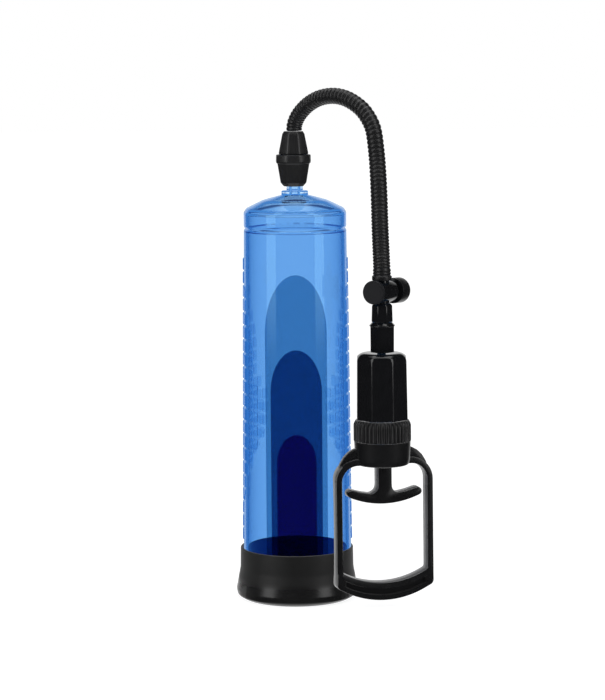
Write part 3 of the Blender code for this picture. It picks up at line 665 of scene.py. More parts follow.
dome = make_object(
    "dome_cap_clear",
    turned(
        [
            (26.1, 206.45, 0.1, 0),
            (27.6, 206.45, 0.1, 0),
            (28.3, 207.9, 0.5, 0),
            (28.3, 215.4, 1.0, 0),
            (26.9, 217.5, 2.5, 0),
            (18.0, 221.9, 20.0, 0),
            (7.4, 224.8, 0.35, 0),
            (7.4, 227.2, 0.7, 0),
            (4.5, 227.2, 0.5, 0),
            (4.5, 236.1, 0.0, 0),
            (3.1, 236.1, 0.0, 0),
            (3.1, 237.9, 0.0, 0),
            (4.5, 237.9, 0.0, 0),
            (4.5, 243.5, 0.4, 0),
            (2.0, 243.5, 0.1, 0),
            (2.0, 223.9, 0.3, 0),
            (16.8, 219.8, 20.0, 0),
            (25.0, 215.9, 3.0, 0),
            (26.1, 214.2, 1.2, 0),
        ],
        round_ring(144),
        6,
    ),
    TUBE_AT,
    40.0,
)
for face in dome.data.polygons:
    out = Vector((face.center.x - TUBE_X * MM, face.center.y - TUBE_Y * MM)).length
    face.material_index = 1 if 25.9 * MM < out < 26.15 * MM and 206.6 * MM < face.center.z < 214.3 * MM else 0
place(dome, "cylinder", ["dome_cap"], [CLEAR, CLEAR_INNER])

sleeve = make_object(
    "base_sleeve_rubber",
    turned(
        [
            (22.0, 0.0, 0.6, 0),
            (29.9, 0.0, 2.2, 0),
            (33.3, 2.0, 2.4, 0),
            (33.85, 5.2, 3.5, 0),
            (33.0, 9.4, 9.0, 0),
            (31.6, 17.0, 14.0, 0),
            (31.4, 28.3, 0.45, 0),
            (30.08, 28.3, 0.12, 0),
            (30.12, 27.3, 0.1, 0),
            (30.5, 26.9, 0.1, 0),
            (30.5, 5.7, 0.2, 0),
            (21.0, 5.7, 0.8, 0),
            (21.0, 1.0, 0.5, 0),
        ],
        round_ring(144),
        7,
    ),
    TUBE_AT,
    40.0,
)
# the sleeve's inner faces behind the tube take the painted blue light
for face in sleeve.data.polygons:
    out = Vector((face.center.x - TUBE_X * MM, face.center.y - TUBE_Y * MM)).length
    face.material_index = 1 if out < 30.55 * MM and 5.0 * MM < face.center.z < 28.0 * MM else 0
for v in sleeve.data.vertices:
    v.co.x -= 0.0004
place(sleeve, "cylinder", ["base_sleeve"], [RUBBER, PAINTED_BLUE_LIGHT])

# ---------------------------------------------------------------- swivel coupling

SOFT_OCTAGON = mixed_ring(octagon_points(0.30, 5))
coupling_body = make_object(
    "coupling_body_shell",
    turned(
        [
            (4.8, 229.6, 0.15, 0.0),
            (5.5, 229.6, 0.4, 0.5),
            (7.15, 231.6, 0.9, 0.72),
            (8.85, 241.9, 0.25, 0.72),
            (9.45, 242.4, 0.3, 0.25),
            (9.7, 243.2, 0.3, 0.15),
            (9.6, 246.9, 0.45, 0.15),
            (8.2, 247.0, 0.0, 0.0),
            (4.8, 247.0, 0.0, 0.0),
        ],
        SOFT_OCTAGON,
        5,
    ),
    TUBE_AT,
    38.0,
)
for v in coupling_body.data.vertices:
    v.co.x -= 0.0006
place(coupling_body, "pump_line", ["coupling_body"], SATIN)

coupling_nut = make_object(
    "coupling_nut_shell",
    turned(
        [
            (4.4, 244.0, 0.1, 0.0),
            (4.4, 247.3, 0.0, 0.0),
            (8.15, 247.3, 0.2, 0.72),
            (8.1, 248.4, 0.6, 0.72),
            (6.15, 258.3, 1.2, 0.72),
            (5.3, 259.7, 0.35, 0.6),
            (1.8, 259.7, 0.1, 0.0),
            (1.8, 244.0, 0.1, 0.0),
        ],
        SOFT_OCTAGON,
        5,
    ),
    TUBE_AT,
    38.0,
)
for v in coupling_nut.data.vertices:
    v.co.x -= 0.0005
place(coupling_nut, "pump_line", ["coupling_nut"], SATIN)

# ---------------------------------------------------------------- hose

# rib spacing in millimetres at distances along the hose
RIB_PITCH = ((0.0, 1.85), (18.0, 1.85), (48.0, 2.45), (74.0, 2.45), (84.0, 2.2), (107.0, 2.15), (111.0, 1.82), (130.0, 1.78), (143.0, 1.66))
SLOPE = (PUMP_Y - TUBE_Y) / (PUMP_X - TUBE_X)  # the hose bends in one upright plane through both axes
ROUTE = [
    (0.0, 260.0),
    (0.0, 262.0),
    (0.5, 264.4),
    (1.9, 267.6),
    (4.4, 271.1),
    (8.4, 274.9),
    (14.0, 278.0),
    (20.8, 279.3),
    (27.5, 278.2),
    (33.7, 274.8),
    (38.5, 270.0),
    (42.5, 262.0),
    (44.25, 249.7),
    (45.15, 236.9),
    (45.65, 223.9),
    (46.1, 206.6),
    (46.6, 194.0),
    (46.87, 186.8),
]


def smooth_route(points, step):
    """Points about one step apart on a smooth curve through the route's own points, with the length."""
    pts = [Vector(p) for p in points]
    pts = [2 * pts[0] - pts[1]] + pts + [2 * pts[-1] - pts[-2]]
    fine = []
    for i in range(1, len(pts) - 2):
        p0, p1, p2, p3 = pts[i - 1 : i + 3]
        for k in range(24):
            t = k / 24
            fine.append(
                0.5 * (2 * p1 + (p2 - p0) * t + (2 * p0 - 5 * p1 + 4 * p2 - p3) * t * t + (3 * p1 - p0 - 3 * p2 + p3) * t * t * t)
            )
    fine.append(pts[-2])
    run = [0.0]
    for a, b in zip(fine, fine[1:]):
        run.append(run[-1] + (b - a).length)
    count = int(round(run[-1] / step)) + 1
    out, j = [], 0
    for k in range(count):
        want = run[-1] * k / (count - 1)
        while j < len(run) - 2 and run[j + 1] < want:
            j += 1
        f = (want - run[j]) / (run[j + 1] - run[j])
        out.append(fine[j].lerp(fine[j + 1], min(1.0, max(0.0, f))))
    return out, run[-1]


def rib_pitch(run):
    for (s0, p0), (s1, p1) in zip(RIB_PITCH, RIB_PITCH[1:]):
        if run <= s1:
            return p0 + (p1 - p0) * (run - s0) / (s1 - s0)
    return RIB_PITCH[-1][1]


route = [(x, SLOPE * x, z) for x, z in ROUTE]
hose_line, hose_length = smooth_route(route, 0.2)
step = hose_length / (len(hose_line) - 1)
phase = [0.0]
for k in range(1, len(hose_line)):
    phase.append(phase[-1] + step / rib_pitch(step * (k - 0.5)))
ribs = round(phase[-1])
phase = [p * ribs / phase[-1] for p in phase]
across = Vector((1.0, SLOPE, 0.0)).normalized().cross(Vector((0, 0, 1)))
hose_rings = []
for k, p in enumerate(hose_line):
    q0, q1 = hose_line[max(0, k - 8)], hose_line[min(len(hose_line) - 1, k + 8)]
    along = (q1 - q0).normalized()
    up = across.cross(along).normalized()
    wave = abs(math.sin(math.pi * phase[k])) ** 0.7
    r = 4.36 + 0.42 * k / (len(hose_line) - 1) - 0.46 * (1.0 - wave)
    hose_rings.append([p + r * (math.cos(2 * math.pi * j / 32) * across + math.sin(2 * math.pi * j / 32) * up) for j in range(32)])
hose = make_object("hose_ribbed", loft(hose_rings, False), TUBE_AT, 70.0)
place(hose, "pump_line", ["hose"], HOSE_BLACK)
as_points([tuple((p + TUBE_AT) * MM) for p in hose_line[::20]] + [tuple((hose_line[-1] + TUBE_AT) * MM)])

cuff = make_object(
    "hose_cuff_ring",
    turned(
        [
            (1.5, 181.9, 0.0, 0),
            (4.15, 181.9, 0.0, 0),
            (4.15, 180.1, 0.15, 0),
            (5.4, 180.1, 0.3, 0),
            (5.45, 182.3, 0.3, 0),
            (4.95, 182.7, 0.15, 0),
            (4.6, 183.1, 0.2, 0),
            (5.0, 183.9, 0.3, 0),
            (4.6, 184.7, 0.2, 0),
            (5.0, 185.5, 0.3, 0),
            (4.55, 186.5, 0.2, 0),
            (4.3, 187.15, 0.0, 0),
            (1.5, 187.15, 0.0, 0),
        ],
        round_ring(64),
        4,
    ),
    PUMP_AT,
)
place(cuff, "pump_line", ["hose_cuff"], HOSE_BLACK)

# ---------------------------------------------------------------- release valve

VALVE_Z = 173.85
VALVE_DIR = Vector((-0.514586, -0.856415, 0.041876)).normalized()
VALVE_AT = Vector((PUMP_X, PUMP_Y, VALVE_Z))
STEM_OCTAGON = mixed_ring(octagon_points(0.34, 8))

valve = make_object(
    "valve_body_shell",
    turned(
        [
            (3.2, 150.6, 0.2, 0),
            (3.2, 157.7, 0.0, 0),
            (5.75, 157.7, 0.15, 1),
            (5.5, 166.4, 0.3, 1),
            (4.6, 167.4, 0.3, 0.6),
            (4.0, 167.6, 0.0, 0),
            (4.0, 181.6, 0.4, 0),
            (1.3, 181.6, 0.1, 0),
            (1.3, 150.6, 0.1, 0),
        ],
        STEM_OCTAGON,
        3,
    ),
    PUMP_AT,
)
cross_barrel = turned(
    [
        (3.0, -8.3, 0.2, 0),
        (5.9, -8.3, 0.35, 0),
        (5.9, 7.3, 0.35, 0),
        (3.0, 7.3, 0.2, 0),
    ],
    round_ring(72),
    4,
)
plug = make_object("cross_plug", turn_to(turned([(0.0, -9.0, 0, 0), (5.7, -9.0, 0, 0), (5.7, 8.0, 0, 0), (0.0, 8.0, 0, 0)], round_ring(72), closed=False), VALVE_DIR), VALVE_AT)
combine(valve, plug, "DIFFERENCE")
combine(valve, make_object("cross_barrel", turn_to(cross_barrel, VALVE_DIR), VALVE_AT), "UNION")
place(valve, "pump_line", ["valve_body"], GLOSS)

RING_S = (2.9, -5.6)  # where the two spool rings sit along the cross barrel
spool_corners = [(0.0, 9.9, 0, 0), (5.4, 9.9, 0.5, 0), (5.6, 9.95, 0.2, 0), (6.45, 9.95, 0.5, 0), (6.45, 7.6, 0.4, 0), (2.7, 7.6, 0.1, 0)]
for at in RING_S:
    if at < 0:
        spool_corners += [(2.7, 1.7, 0, 0), (1.7, 1.3, 0, 0), (1.7, -1.3, 0, 0), (2.7, -1.7, 0, 0)]
    spool_corners += [(2.7, at + 0.6, 0, 0), (1.85, at + 0.6, 0, 0), (1.85, at - 0.6, 0, 0), (2.7, at - 0.6, 0, 0)]
spool_corners += [(2.7, -11.5, 0, 0), (1.7, -11.5, 0, 0), (1.7, -18.4, 0.2, 0), (0.0, -18.4, 0, 0)]
spool = make_object("spool_disc", turn_to(turned(spool_corners, round_ring(72), 4, closed=False), VALVE_DIR), VALVE_AT)
place(spool, "release_spool", ["spool"], DISC_BLACK)

knob = make_object(
    "rear_knob_cap",
    turn_to(
        turned(
            [
                (0.0, -18.8, 0, 0),
                (2.0, -18.8, 0, 0),
                (2.0, -11.8, 0, 0),
                (7.0, -11.8, 0.4, 0),
                (7.0, -19.9, 1.0, 0),
                (5.4, -20.1, 0.6, 0),
                (0.0, -20.1, 0, 0),
            ],
            round_ring(72),
            5,
            closed=False,
        ),
        VALVE_DIR,
    ),
    VALVE_AT,
)
place(knob, "release_spool", ["rear_knob"], COLLAR_BLACK)

# ---------------------------------------------------------------- outlet and pump

outlet = make_object(
    "outlet_neck",
    turned(
        [
            (4.0, 135.6, 0.0, 0),
            (4.0, 141.0, 0.0, 0),
            (4.9, 141.0, 0.0, 0),
            (4.9, 141.05, 0.0, 0),
            (6.35, 141.05, 0.15, 1),
            (6.4, 155.1, 0.1, 1),
            (7.0, 155.2, 0.1, 0),
            (7.0, 155.7, 0.15, 0),
            (5.4, 157.4, 0.1, 0),
            (4.8, 157.4, 0.0, 0),
            (4.8, 156.2, 0.0, 0),
            (3.5, 156.2, 0.0, 0),
            (3.5, 150.3, 0.0, 0),
            (1.5, 150.3, 0.0, 0),
            (1.5, 146.3, 0.0, 0),
            (3.3, 146.3, 0.0, 0),
            (3.3, 135.6, 0.0, 0),
        ],
        mixed_ring(octagon_points(0.085, 4)),
        3,
    ),
    PUMP_AT,
)
for ob in (cuff, valve, spool, knob, outlet):
    for v in ob.data.vertices:
        v.co.x += 0.0004
place(outlet, "pump_line", ["outlet_fitting"], GLOSS)

BARREL_FLATS = octagon_points(0.13, 6)


def barrel_ring(r, z, shape):
    """The flats, cut back to a turned top where that is narrower; shape 0 is a plain circle."""
    if shape < 0.5:
        return mixed_ring(BARREL_FLATS)(r, z, 0.0)
    apothem = 13.35 + 0.45 * (140.7 - z) / 36.5
    ring = []
    for x, y in BARREL_FLATS:
        a, size = math.atan2(y, x), math.hypot(x, y)
        far = min(r, apothem * size)
        ring.append(Vector((far * math.cos(a), far * math.sin(a), z)))
    return ring


top = [(8.6, 140.7), (9.8, 140.64), (10.7, 140.48), (11.4, 140.25), (12.0, 139.97), (12.5, 139.65), (12.9, 139.3), (13.2, 138.95)]
top += [(13.45, 138.6), (13.65, 138.25), (13.82, 137.9), (13.98, 137.5), (14.12, 137.1), (14.3, 136.5), (15.5, 134.6), (15.5, 120.0), (15.5, 104.4)]
barrel_rings = [barrel_ring(4.3, 140.7, 0)] + [barrel_ring(r, z, 1) for r, z in top]
barrel_rings += [barrel_ring(13.5, 104.2, 1)]
barrel_rings += [barrel_ring(r, z, 0) for r, z in ((12.4, 104.2), (12.4, 84.8), (12.0, 84.4), (10.5, 84.4), (10.5, 134.7), (10.2, 135.0), (4.3, 135.0))]
barrel = make_object("pump_barrel_shell", loft(barrel_rings, True), PUMP_AT, 40.0)
place(barrel, "pump_line", ["pump_barrel"], GLOSS)

RIDGES = 36


def ridged(peak, root, z):
    """A ring of rounded ridges with narrow grooves: twelve points to each ridge."""
    ring, per = [], 12
    for k in range(RIDGES * per):
        a = 2 * math.pi * k / (RIDGES * per)
        w = abs(math.sin(math.pi * (k % per) / per))  # 0 in a groove, 1 on a ridge
        r = root + (peak - root) * w**0.75
        ring.append(Vector((r * math.cos(a), r * math.sin(a), z)))
    return ring


collar = make_object(
    "screw_collar_ridged",
    loft(
        [
            ridged(12.75, 12.75, 104.0),
            ridged(14.0, 14.0, 104.0),
            ridged(14.3, 14.2, 103.9),
            ridged(14.7, 14.4, 103.5),
            ridged(15.15, 14.55, 102.7),
            ridged(15.5, 14.7, 101.9),
            ridged(15.68, 14.8, 101.3),
            ridged(15.72, 14.85, 100.5),
            ridged(15.72, 14.85, 93.2),
            ridged(15.72, 15.2, 92.8),
            ridged(15.7, 15.3, 92.55),
            ridged(15.6, 15.25, 92.5),
            ridged(12.75, 12.75, 92.5),
        ],
        True,
    ),
    PUMP_AT,
    75.0,
)
place(collar, "pump_line", ["screw_collar"], COLLAR_BLACK)

# ---------------------------------------------------------------- loop handle

HUB_TOP, HUB_LOW, HUB_FLOOR = 92.4, 79.5, 84.1
LOOP_HALF, LOOP_INNER, LOOP_DEPTH, LOOP_CORNER = 27.6, 24.2, 8.5, 9.0


def bar_low(x):
    return 4.3 + 50.0 - math.sqrt(50.0**2 - x * x)


def bar_high(x):
    return 14.0 + 48.0 - math.sqrt(48.0**2 - x * x)


def half_loop():
    """Outer and inner outlines of the loop's right half from the top, paired point by point."""
    wide = LOOP_HALF - LOOP_INNER
    cx, cz = LOOP_INNER - LOOP_CORNER, HUB_LOW - LOOP_CORNER
    outer, inner = [(0.0, HUB_LOW + wide, 0)], [(0.0, HUB_LOW, 0)]
    for k in range(17):
        a = math.radians(90.0 - 90.0 * k / 16)
        outer.append((cx + (LOOP_CORNER + wide) * math.cos(a), cz + (LOOP_CORNER + wide) * math.sin(a), 0))
        inner.append((cx + LOOP_CORNER * math.cos(a), cz + LOOP_CORNER * math.sin(a), 0))
    for z in (58.0, 46.0, 34.0):
        outer.append((LOOP_HALF, z, 0))
        inner.append((LOOP_INNER, z, 0))
    outer.append((LOOP_HALF, 20.0, 0))
    inner.append((LOOP_INNER, 24.0, 0))
    outer.append((LOOP_HALF, bar_low(LOOP_HALF - 0.6), 3.2))
    inner.append((LOOP_INNER, bar_high(LOOP_INNER), 1.6))
    steps = 24
    for k in range(steps + 1):
        f = 1.0 - k / steps
        xo, xi = 23.6 * f, 22.2 * f
        outer.append((xo, bar_low(xo), 0))
        inner.append((xi, bar_high(xi), 0))
    return outer, inner


def dense(points):
    return [Vector((x, z)) for x, z, _ in rounded([(*p, 0) for p in points], 6, closed=False)]


right_outer, right_inner = (dense(side) for side in half_loop())
loop_pairs = list(zip(right_outer, right_inner))
loop_pairs += [(Vector((-o.x, o.y)), Vector((-i.x, i.y))) for o, i in reversed(loop_pairs[1:-1])]

CHANNEL = 2.2  # depth of the recess along the lower bar
loop_rings = []
for o, i in loop_pairs:
    d = i - o
    w = d.length
    d = d / w
    half, c = LOOP_DEPTH / 2, 0.55
    low_bar = max(0.0, min(1.0, (24.2 - abs(o.x)) / 1.6)) if o.y < 15.0 else 0.0
    g = CHANNEL * low_bar * low_bar * (3 - 2 * low_bar)
    u0, u1 = (0.29 * w, 0.66 * w) if o.y < 15.0 else (0.74 * w, 0.79 * w)
    slope_in = 0.35 if o.y < 15.0 else 0.02
    front = [
        (0.0, -half + c),
        (0.293 * c, -half + 0.293 * c),
        (c, -half),
        (u0, -half),
        (u0 + slope_in, -half + g),
        (u1 - slope_in, -half + g),
        (u1, -half),
        (w - c, -half),
        (w - 0.293 * c, -half + 0.293 * c),
        (w, -half + c),
    ]
    leg = max(0.0, min(1.0, (o.y - 16.0) / 6.0, (76.0 - o.y) / 8.0))
    e = c + 1.75 * leg * leg * (3 - 2 * leg)
    back = [(u, -y) for u, y in reversed(front)][:-3] + [(e, half), (0.293 * e, half - 0.293 * e), (0.0, half - e)]
    section = front + back
    loop_rings.append([Vector(((o + d * u).x, y, (o + d * u).y)) for u, y in section])

handle = make_object("loop_handle", spin(loft(loop_rings, True), HANDLE_TURN), PUMP_AT)
hub = turned(
    [
        (0.0, HUB_LOW - 0.25, 0, 0),
        (14.3, HUB_LOW - 0.25, 1.2, 0),
        (14.9, HUB_LOW + 2.6, 3.0, 0),
        (15.48, HUB_TOP - 0.04, 0.0, 0),
        (15.44, HUB_TOP, 0.0, 0),
        (0.0, HUB_TOP, 0, 0),
    ],
    round_ring(96),
    6,
    closed=False,
)
combine(handle, make_object("hub", hub, PUMP_AT), "UNION")


def slab(outline, half, c):
    """A flat outline with eased front and back edges, as a closed body about the XZ plane."""
    rings = []
    for d, y in ((c, -half), (0.293 * c, -half + 0.293 * c), (0.0, -half + c), (0.0, half - c), (0.293 * c, half - 0.293 * c), (c, half)):
        rings.append([Vector((x, y, z)) for x, z in (inset(outline, d) if d else outline)])
    bm = bmesh.new()
    loops = [[bm.verts.new(p * MM) for p in ring] for ring in rings]
    n = len(outline)
    for a, b in zip(loops, loops[1:]):
        for k in range(n):
            bm.faces.new((a[k], a[(k + 1) % n], b[(k + 1) % n], b[k]))
    bm.faces.new(loops[0])
    bm.faces.new(loops[-1])
    return bm


for side in (1, -1):
    web = [(9.0, 81.2), (9.0, 88.7), (13.0, 88.9), (16.2, 88.3), (19.3, 86.6), (22.0, 83.9), (24.1, 80.4)]
    web += [(25.5, 76.4), (26.1, 72.0), (25.2, 70.5), (24.6, 72.0), (23.3, 76.0), (20.6, 79.4), (16.0, 81.2)]
    web = rounded2([(x, z, 6.0 if 0 < k < 8 else 0.0) for k, (x, z) in enumerate(web)], 4)
    web = [(side * x, z) for x, z in web]
    if sum(a[0] * b[1] - b[0] * a[1] for a, b in zip(web, web[1:] + web[:1])) < 0:
        web.reverse()
    combine(handle, make_object("web", spin(slab(web, 2.6, 0.5), HANDLE_TURN), PUMP_AT), "UNION")
bore = turned(
    [
        (0.0, HUB_LOW - 3.0, 0, 0),
        (7.0, HUB_LOW - 3.0, 0, 0),
        (7.0, HUB_FLOOR, 0, 0),
        (12.7, HUB_FLOOR, 0, 0),
        (12.7, HUB_TOP + 3.0, 0, 0),
        (0.0, HUB_TOP + 3.0, 0, 0),
    ],
    round_ring(96),
    closed=False,
)
combine(handle, make_object("hub_bore", bore, PUMP_AT), "DIFFERENCE")
turn_back = Matrix.Rotation(-HANDLE_TURN, 3, "Z")
for face in handle.data.polygons:
    at = turn_back @ (face.center / MM - PUMP_AT)
    facing = turn_back @ face.normal
    low, high = (bar_low(at.x), bar_high(at.x)) if abs(at.x) < 26.0 else (0.0, 1.0)
    up = (at.z - low) / (high - low)
    # the recess along the lower bar takes the painted shade
    if at.z < 24.0 and abs(at.x) < 24.4 and 0.2 < up < 0.78 and abs(at.y) < LOOP_DEPTH / 2 - 0.05:
        face.material_index = 1
    # the loop's side faces and the lower bar's top faces get the painted light grey reflection
    elif at.z < 79.0 and (abs(facing.x) > 0.6 or (at.z < 24.0 and facing.z > 0.6)):
        face.material_index = 3
    elif at.z > 79.0 and math.hypot(at.x, at.y) > 14.0 and abs(at.x) < 15.7 and math.hypot(at.x, at.y) < 15.8:
        face.material_index = 2
place(handle, "pump_line", ["handle_frame"], [LOOP_BLACK, CHANNEL_PAINTED_SHADE, HUB_BLACK, LOOP_PAINTED_SHEEN])

# ---------------------------------------------------------------- finger pull and rod

PULL_HALF, PULL_LOW, PULL_R, PULL_DEPTH = 21.9, 57.9, 50.0, 8.0
ROD_WIDTH, ROD_TOP = 7.8, 124.7


def pull_outline():
    """The finger pull and its rod in one outline, counterclockwise: a smile-shaped bar under a straight rod."""

    def low(x):
        return PULL_LOW + PULL_R - math.sqrt(PULL_R**2 - x * x)

    tip, thick_mid, thick_tip = PULL_HALF - 2.2, 5.2, 4.4
    right = [(tip * k / 16, low(tip * k / 16)) for k in range(17)]
    ang = math.atan(tip / math.sqrt(PULL_R**2 - tip**2))
    nx, nz = -math.sin(ang), math.cos(ang)
    cx, cz = tip + nx * thick_tip / 2, low(tip) + nz * thick_tip / 2
    for k in range(11):
        a = ang - math.radians(90 - 14) + math.radians(166) * k / 10
        right.append((cx + thick_tip / 2 * math.cos(a), cz + thick_tip / 2 * math.sin(a)))
    for k in range(1, 12):
        f = 1 - k / 12
        x = 7.6 + (tip + nx * thick_tip - 7.6) * f
        right.append((x, low(x) + thick_mid + (thick_tip + 0.5 - thick_mid) * f))
    half = ROD_WIDTH / 2
    z0 = low(7.0) + thick_mid
    for k in range(9):
        a = math.radians(270.0 - 78.0 * k / 8)
        right.append((half + 4.2 + 4.2 * math.cos(a), z0 + 4.35 + 4.2 * math.sin(a)))
    right += [(half, z0 + 5.2), (half, 90.0), (half, ROD_TOP - 0.5), (half - 0.5, ROD_TOP)]
    return right + [(-x, z) for x, z in reversed(right[1:])]


def pull_body():
    """The pull with eased edges."""
    outline, half, c = pull_outline(), PULL_DEPTH / 2, 0.6
    steps = [(c, half), (0.293 * c, half - 0.293 * c), (0.0, half - c)]
    rings = [[(d, -y) for d, y in steps], [(d, y) for d, y in reversed(steps)]]
    rings = [[Vector((x, y, z)) for x, z in (inset(outline, d) if d else outline)] for part in rings for d, y in part]
    bm = bmesh.new()
    loops = [[bm.verts.new(p * MM) for p in ring] for ring in rings]
    n = len(outline)
    for a, b in zip(loops, loops[1:]):
        for k in range(n):
            bm.faces.new((a[k], a[(k + 1) % n], b[(k + 1) % n], b[k]))
    bm.faces.new(loops[0])
    bm.faces.new(loops[-1])
    return bm


pull = make_object("pull_bar", spin(pull_body(), HANDLE_TURN), PUMP_AT)
hole = turned([(0.0, 114.0, 0, 0), (1.6, 114.0, 0, 0), (1.6, ROD_TOP + 2.0, 0, 0), (0.0, ROD_TOP + 2.0, 0, 0)], round_ring(24), closed=False)
combine(pull, make_object("screw_hole", hole, PUMP_AT), "DIFFERENCE")
for v in pull.data.vertices:
    v.co.x += 0.0002
for face in pull.data.polygons:
    facing = turn_back @ face.normal
    # the pull's top faces and the rod's side faces get the painted light grey reflection
    if facing.z > 0.6 or (abs(facing.x) > 0.6 and abs((turn_back @ (face.center / MM - PUMP_AT)).x) < 7.0):
        face.material_index = 1
place(pull, "plunger", ["pull_handle"], [LOOP_BLACK, LOOP_PAINTED_SHEEN])

# ---------------------------------------------------------------- return spring

WIRE_R, COIL_R, SPRING_LOW = 0.55, 6.4, 86.5
coil_low, coil_high = SPRING_LOW + WIRE_R, ROD_TOP - WIRE_R
END_TURNS, END_PITCH, MID_TURNS = 1.0, 1.3, 4.5
turns = 2 * END_TURNS + MID_TURNS
mid_pitch = (coil_high - coil_low - 2 * END_TURNS * END_PITCH) / MID_TURNS
coil = []
for k in range(int(turns * 28) + 1):
    t = k / 28
    if t < END_TURNS:
        z = coil_low + END_PITCH * t
    elif t < END_TURNS + MID_TURNS:
        z = coil_low + END_PITCH * END_TURNS + mid_pitch * (t - END_TURNS)
    else:
        z = coil_high - END_PITCH * (turns - t)
    coil.append(Vector((COIL_R * math.cos(2 * math.pi * t), COIL_R * math.sin(2 * math.pi * t), z)))
coil_rings = []
for k, p in enumerate(coil):
    along = (coil[min(k + 1, len(coil) - 1)] - coil[max(k - 1, 0)]).normalized()
    out = Vector((p.x, p.y, 0.0)).normalized()
    side = along.cross(out).normalized()
    out = side.cross(along).normalized()
    coil_rings.append([p + WIRE_R * (math.cos(2 * math.pi * j / 10) * out + math.sin(2 * math.pi * j / 10) * side) for j in range(10)])
spring = make_object("return_spring_coil", loft(coil_rings, False), PUMP_AT)
place(spring, "pump_line", ["return_spring"], STEEL)
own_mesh(spring)

# the pump hangs a fraction of a degree off the upright
for ob in (barrel, collar, handle, pull, spring):
    for v in ob.data.vertices:
        bore = ob is barrel and math.hypot(v.co.x - PUMP_X * MM, v.co.y - PUMP_Y * MM) < 11.2 * MM
        v.co.x += 0.0 if bore else 0.006 * (0.140 - v.co.z)  # the bore stays true for the piston

# ---------------------------------------------------------------- parts shown as packed

for node, material in (
    ("coupling_seal", SEAL),
    ("spool_o_ring_front", SEAL),
    ("spool_o_ring_rear", SEAL),
    ("outlet_seal", SEAL),
    ("inlet_check_valve", SEAL),
    ("piston_cup", SEAL),
    ("piston", SATIN),
    ("rod_guide", SATIN),
    ("piston_screw", STEEL),
):
    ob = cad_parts[node]
    ob.data.materials.clear()
    ob.data.materials.append(material)

# ---------------------------------------------------------------- floor, light and surroundings

bm = bmesh.new()
bmesh.ops.create_grid(bm, x_segments=8, y_segments=8, size=6.0)
floor = make_object("floor", bm, (0, 0, -0.05))
floor_tree = Tree("pale_floor")
floor_tree.give("Base Color", floor_tree.mix(floor_tree.noise(3.0, 2.0), (0.30, 0.30, 0.30), (0.32, 0.32, 0.32)))
floor_tree.plain(Roughness=0.9, Specular_IOR_Level=0.0, Emission_Color=(1, 1, 1, 1), Emission_Strength=0.9)
floor.data.materials.append(floor_tree.material)
floor.visible_glossy = False
floor.visible_transmission = False


def softbox(name, at, aim, size, radiance):
    light = bpy.data.lights.new(name, "AREA")
    light.shape = "RECTANGLE"
    light.size, light.size_y = size
    light.energy = radiance * math.pi * size[0] * size[1]
    ob = bpy.data.objects.new(name, light)
    scene.collection.objects.link(ob)
    ob.matrix_world = Matrix.Translation(at) @ (Vector(aim) - Vector(at)).to_track_quat("-Z", "Y").to_matrix().to_4x4()
    ob.visible_camera = False
    ob.visible_glossy = False
    ob.visible_transmission = False
    return ob


def card_for(name, at, aim, size, radiance, pieces):
    """A white card that only some pieces see, so that what stands beside them doesn't hide it."""
    ob = softbox(name, at, aim, size, radiance)
    ob.visible_glossy = True
    ob.data.cycles.use_multiple_importance_sampling = False
    on = bpy.data.collections.new(name + "_on")
    for piece in pieces:
        on.objects.link(piece)
    ob.light_linking.receiver_collection = on
    ob.light_linking.blocker_collection = on
    return ob


for side, name in ((-1, "softbox_left"), (1, "softbox_right")):
    angle = math.radians(55.6)
    at = (side * 1.1 * math.sin(angle) - 0.01, -1.1 * math.cos(angle), 0.52)
    softbox(name, at, (0.0, 0.0, 0.52), (0.45, 0.98), 2.3)
softbox("softbox_top", (0.0, -0.1, 1.4), (0.0, 0.0, 0.0), (0.9, 0.9), 1.0)

for ob in (tube, dome, sleeve, hose, barrel, collar, outlet, handle, pull):
    ob.visible_glossy = False
for side, name in ((-1, "card_sleeve_left"), (1, "card_sleeve_right")):
    card_for(name, (side * 1.0 - 0.02, 0.68, 0.1), (-0.02, 0.0, 0.05), (1.0, 1.4), 0.4, [sleeve])

world = bpy.data.worlds.new("studio")
scene.world = world
world.use_nodes = True
nodes, links = world.node_tree.nodes, world.node_tree.links
nodes.clear()


def world_node(kind, *values, **settings):
    node = nodes.new(kind)
    for name, v in settings.items():
        setattr(node, name, v)
    for socket, v in zip(node.inputs, values):
        if v is None:
            continue
        if isinstance(v, bpy.types.NodeSocket):
            links.new(v, socket)
        else:
            socket.default_value = v
    return node


direction = world_node("ShaderNodeTexCoord").outputs["Generated"]
parts = world_node("ShaderNodeSeparateXYZ", direction)
turn = world_node("ShaderNodeMath", parts.outputs["X"], parts.outputs["Y"], operation="ARCTAN2").outputs[0]
turn = world_node("ShaderNodeMath", turn, operation="ABSOLUTE").outputs[0]


def step_at(low, high, a=0.0, b=1.0, value=None):
    """Goes from a to b as the angle from straight behind, or another value, goes from low to high."""
    node = nodes.new("ShaderNodeMapRange")
    node.interpolation_type = "SMOOTHSTEP"
    links.new(value or turn, node.inputs["Value"])
    if value is None:
        low, high = math.radians(low), math.radians(high)
    for name, v in (("From Min", low), ("From Max", high), ("To Min", a), ("To Max", b)):
        node.inputs[name].default_value = v
    return node.outputs["Result"]


def plus(a, b, operation="ADD"):
    return world_node("ShaderNodeMath", a, b, operation=operation).outputs[0]


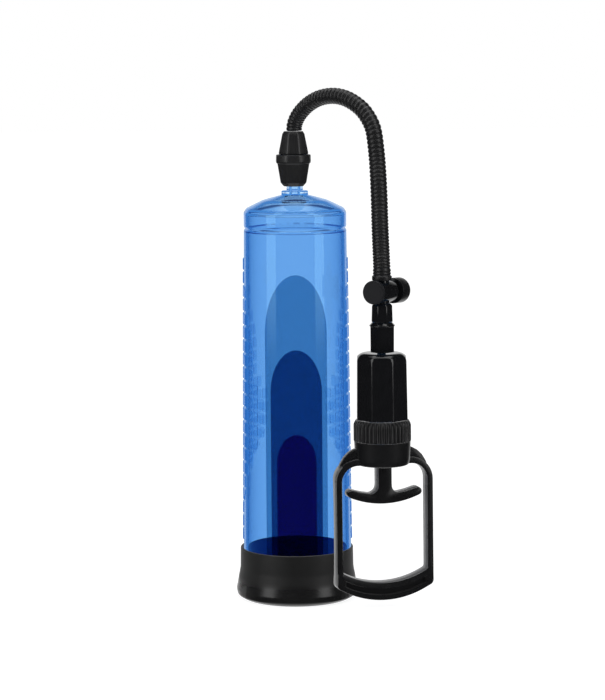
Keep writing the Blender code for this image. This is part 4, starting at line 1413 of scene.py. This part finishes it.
backdrop = plus(step_at(27.0, 40.0, 1.0, 0.0), step_at(0.2, 0.5, 1.0, 0.0, parts.outputs["Z"]), "MULTIPLY")
above = plus(plus(parts.outputs["Z"], 0.985, "MULTIPLY"), plus(parts.outputs["Y"], 0.17, "MULTIPLY"))
overhead = step_at(0.84, 0.95, 0.0, 2.0, above)
underfoot = step_at(-0.75, -0.92, 0.0, 0.8, parts.outputs["Z"])
aside = world_node("ShaderNodeMath", plus(turn, math.radians(124.4), "SUBTRACT"), operation="ABSOLUTE").outputs[0]
strip = plus(step_at(math.radians(10.4), math.radians(12.8), 1.0, 0.0, aside), step_at(-0.118, -0.080, 0.0, 2.35, parts.outputs["Z"]), "MULTIPLY")
mirrored = plus(plus(backdrop, plus(overhead, underfoot, "MAXIMUM"), "MAXIMUM"), strip, "MAXIMUM")
mirrored = plus(mirrored, 0.012, "MAXIMUM")
quarter = plus(turn, math.pi / 2, "MODULO")
off = world_node("ShaderNodeMath", plus(quarter, math.pi / 4, "SUBTRACT"), operation="ABSOLUTE").outputs[0]
off = world_node("ShaderNodeMath", plus(off, math.radians(9.5), "SUBTRACT"), operation="ABSOLUTE").outputs[0]
through = step_at(math.radians(3.0), math.radians(6.5), 0.0, 1.0, off)
through = plus(through, step_at(-0.100, -0.122, 0.0, 0.6, parts.outputs["Z"]), "MAXIMUM")


def colour_mix(factor, a, b):
    node = nodes.new("ShaderNodeMix")
    node.data_type = "RGBA"
    for socket, v in ((node.inputs["Factor"], factor), (node.inputs[6], a), (node.inputs[7], b)):
        if isinstance(v, bpy.types.NodeSocket):
            links.new(v, socket)
        else:
            socket.default_value = v if isinstance(v, float) else (*v, 1.0)
    return node.outputs[2]


path = world_node("ShaderNodeLightPath")
seen = colour_mix(through, (0.06, 0.10, 0.27), (1.175, 1.175, 1.175))
inner_glints = plus(path.outputs["Ray Depth"], 5.5, "GREATER_THAN")
seen = colour_mix(inner_glints, seen, (0.30, 0.42, 0.66))
glossy = world_node("ShaderNodeCombineColor", mirrored, mirrored, mirrored).outputs[0]
inside = plus(path.outputs["Ray Depth"], 2.5, "GREATER_THAN")
glossy = colour_mix(inside, glossy, (0.10, 0.33, 0.76))
across_wall = plus(plus(path.outputs["Ray Depth"], 3.5, "GREATER_THAN"), plus(path.outputs["Ray Depth"], 4.5, "LESS_THAN"), "MULTIPLY")
glossy = colour_mix(across_wall, glossy, (0.01, 0.03, 0.16))
light = colour_mix(path.outputs["Is Diffuse Ray"], glossy, (0.6, 0.6, 0.6))
light = colour_mix(path.outputs["Is Transmission Ray"], light, seen)
light = colour_mix(path.outputs["Is Camera Ray"], light, (1.0, 1.0, 1.0))
background = world_node("ShaderNodeBackground", light)
output = world_node("ShaderNodeOutputWorld", background.outputs[0])
world.cycles.sampling_method = "NONE"

scene.view_settings.view_transform = "Standard"
scene.view_settings.look = "None"
scene.view_settings.exposure = 0.0
scene.view_settings.gamma = 1.0

bpy.context.view_layer.update()
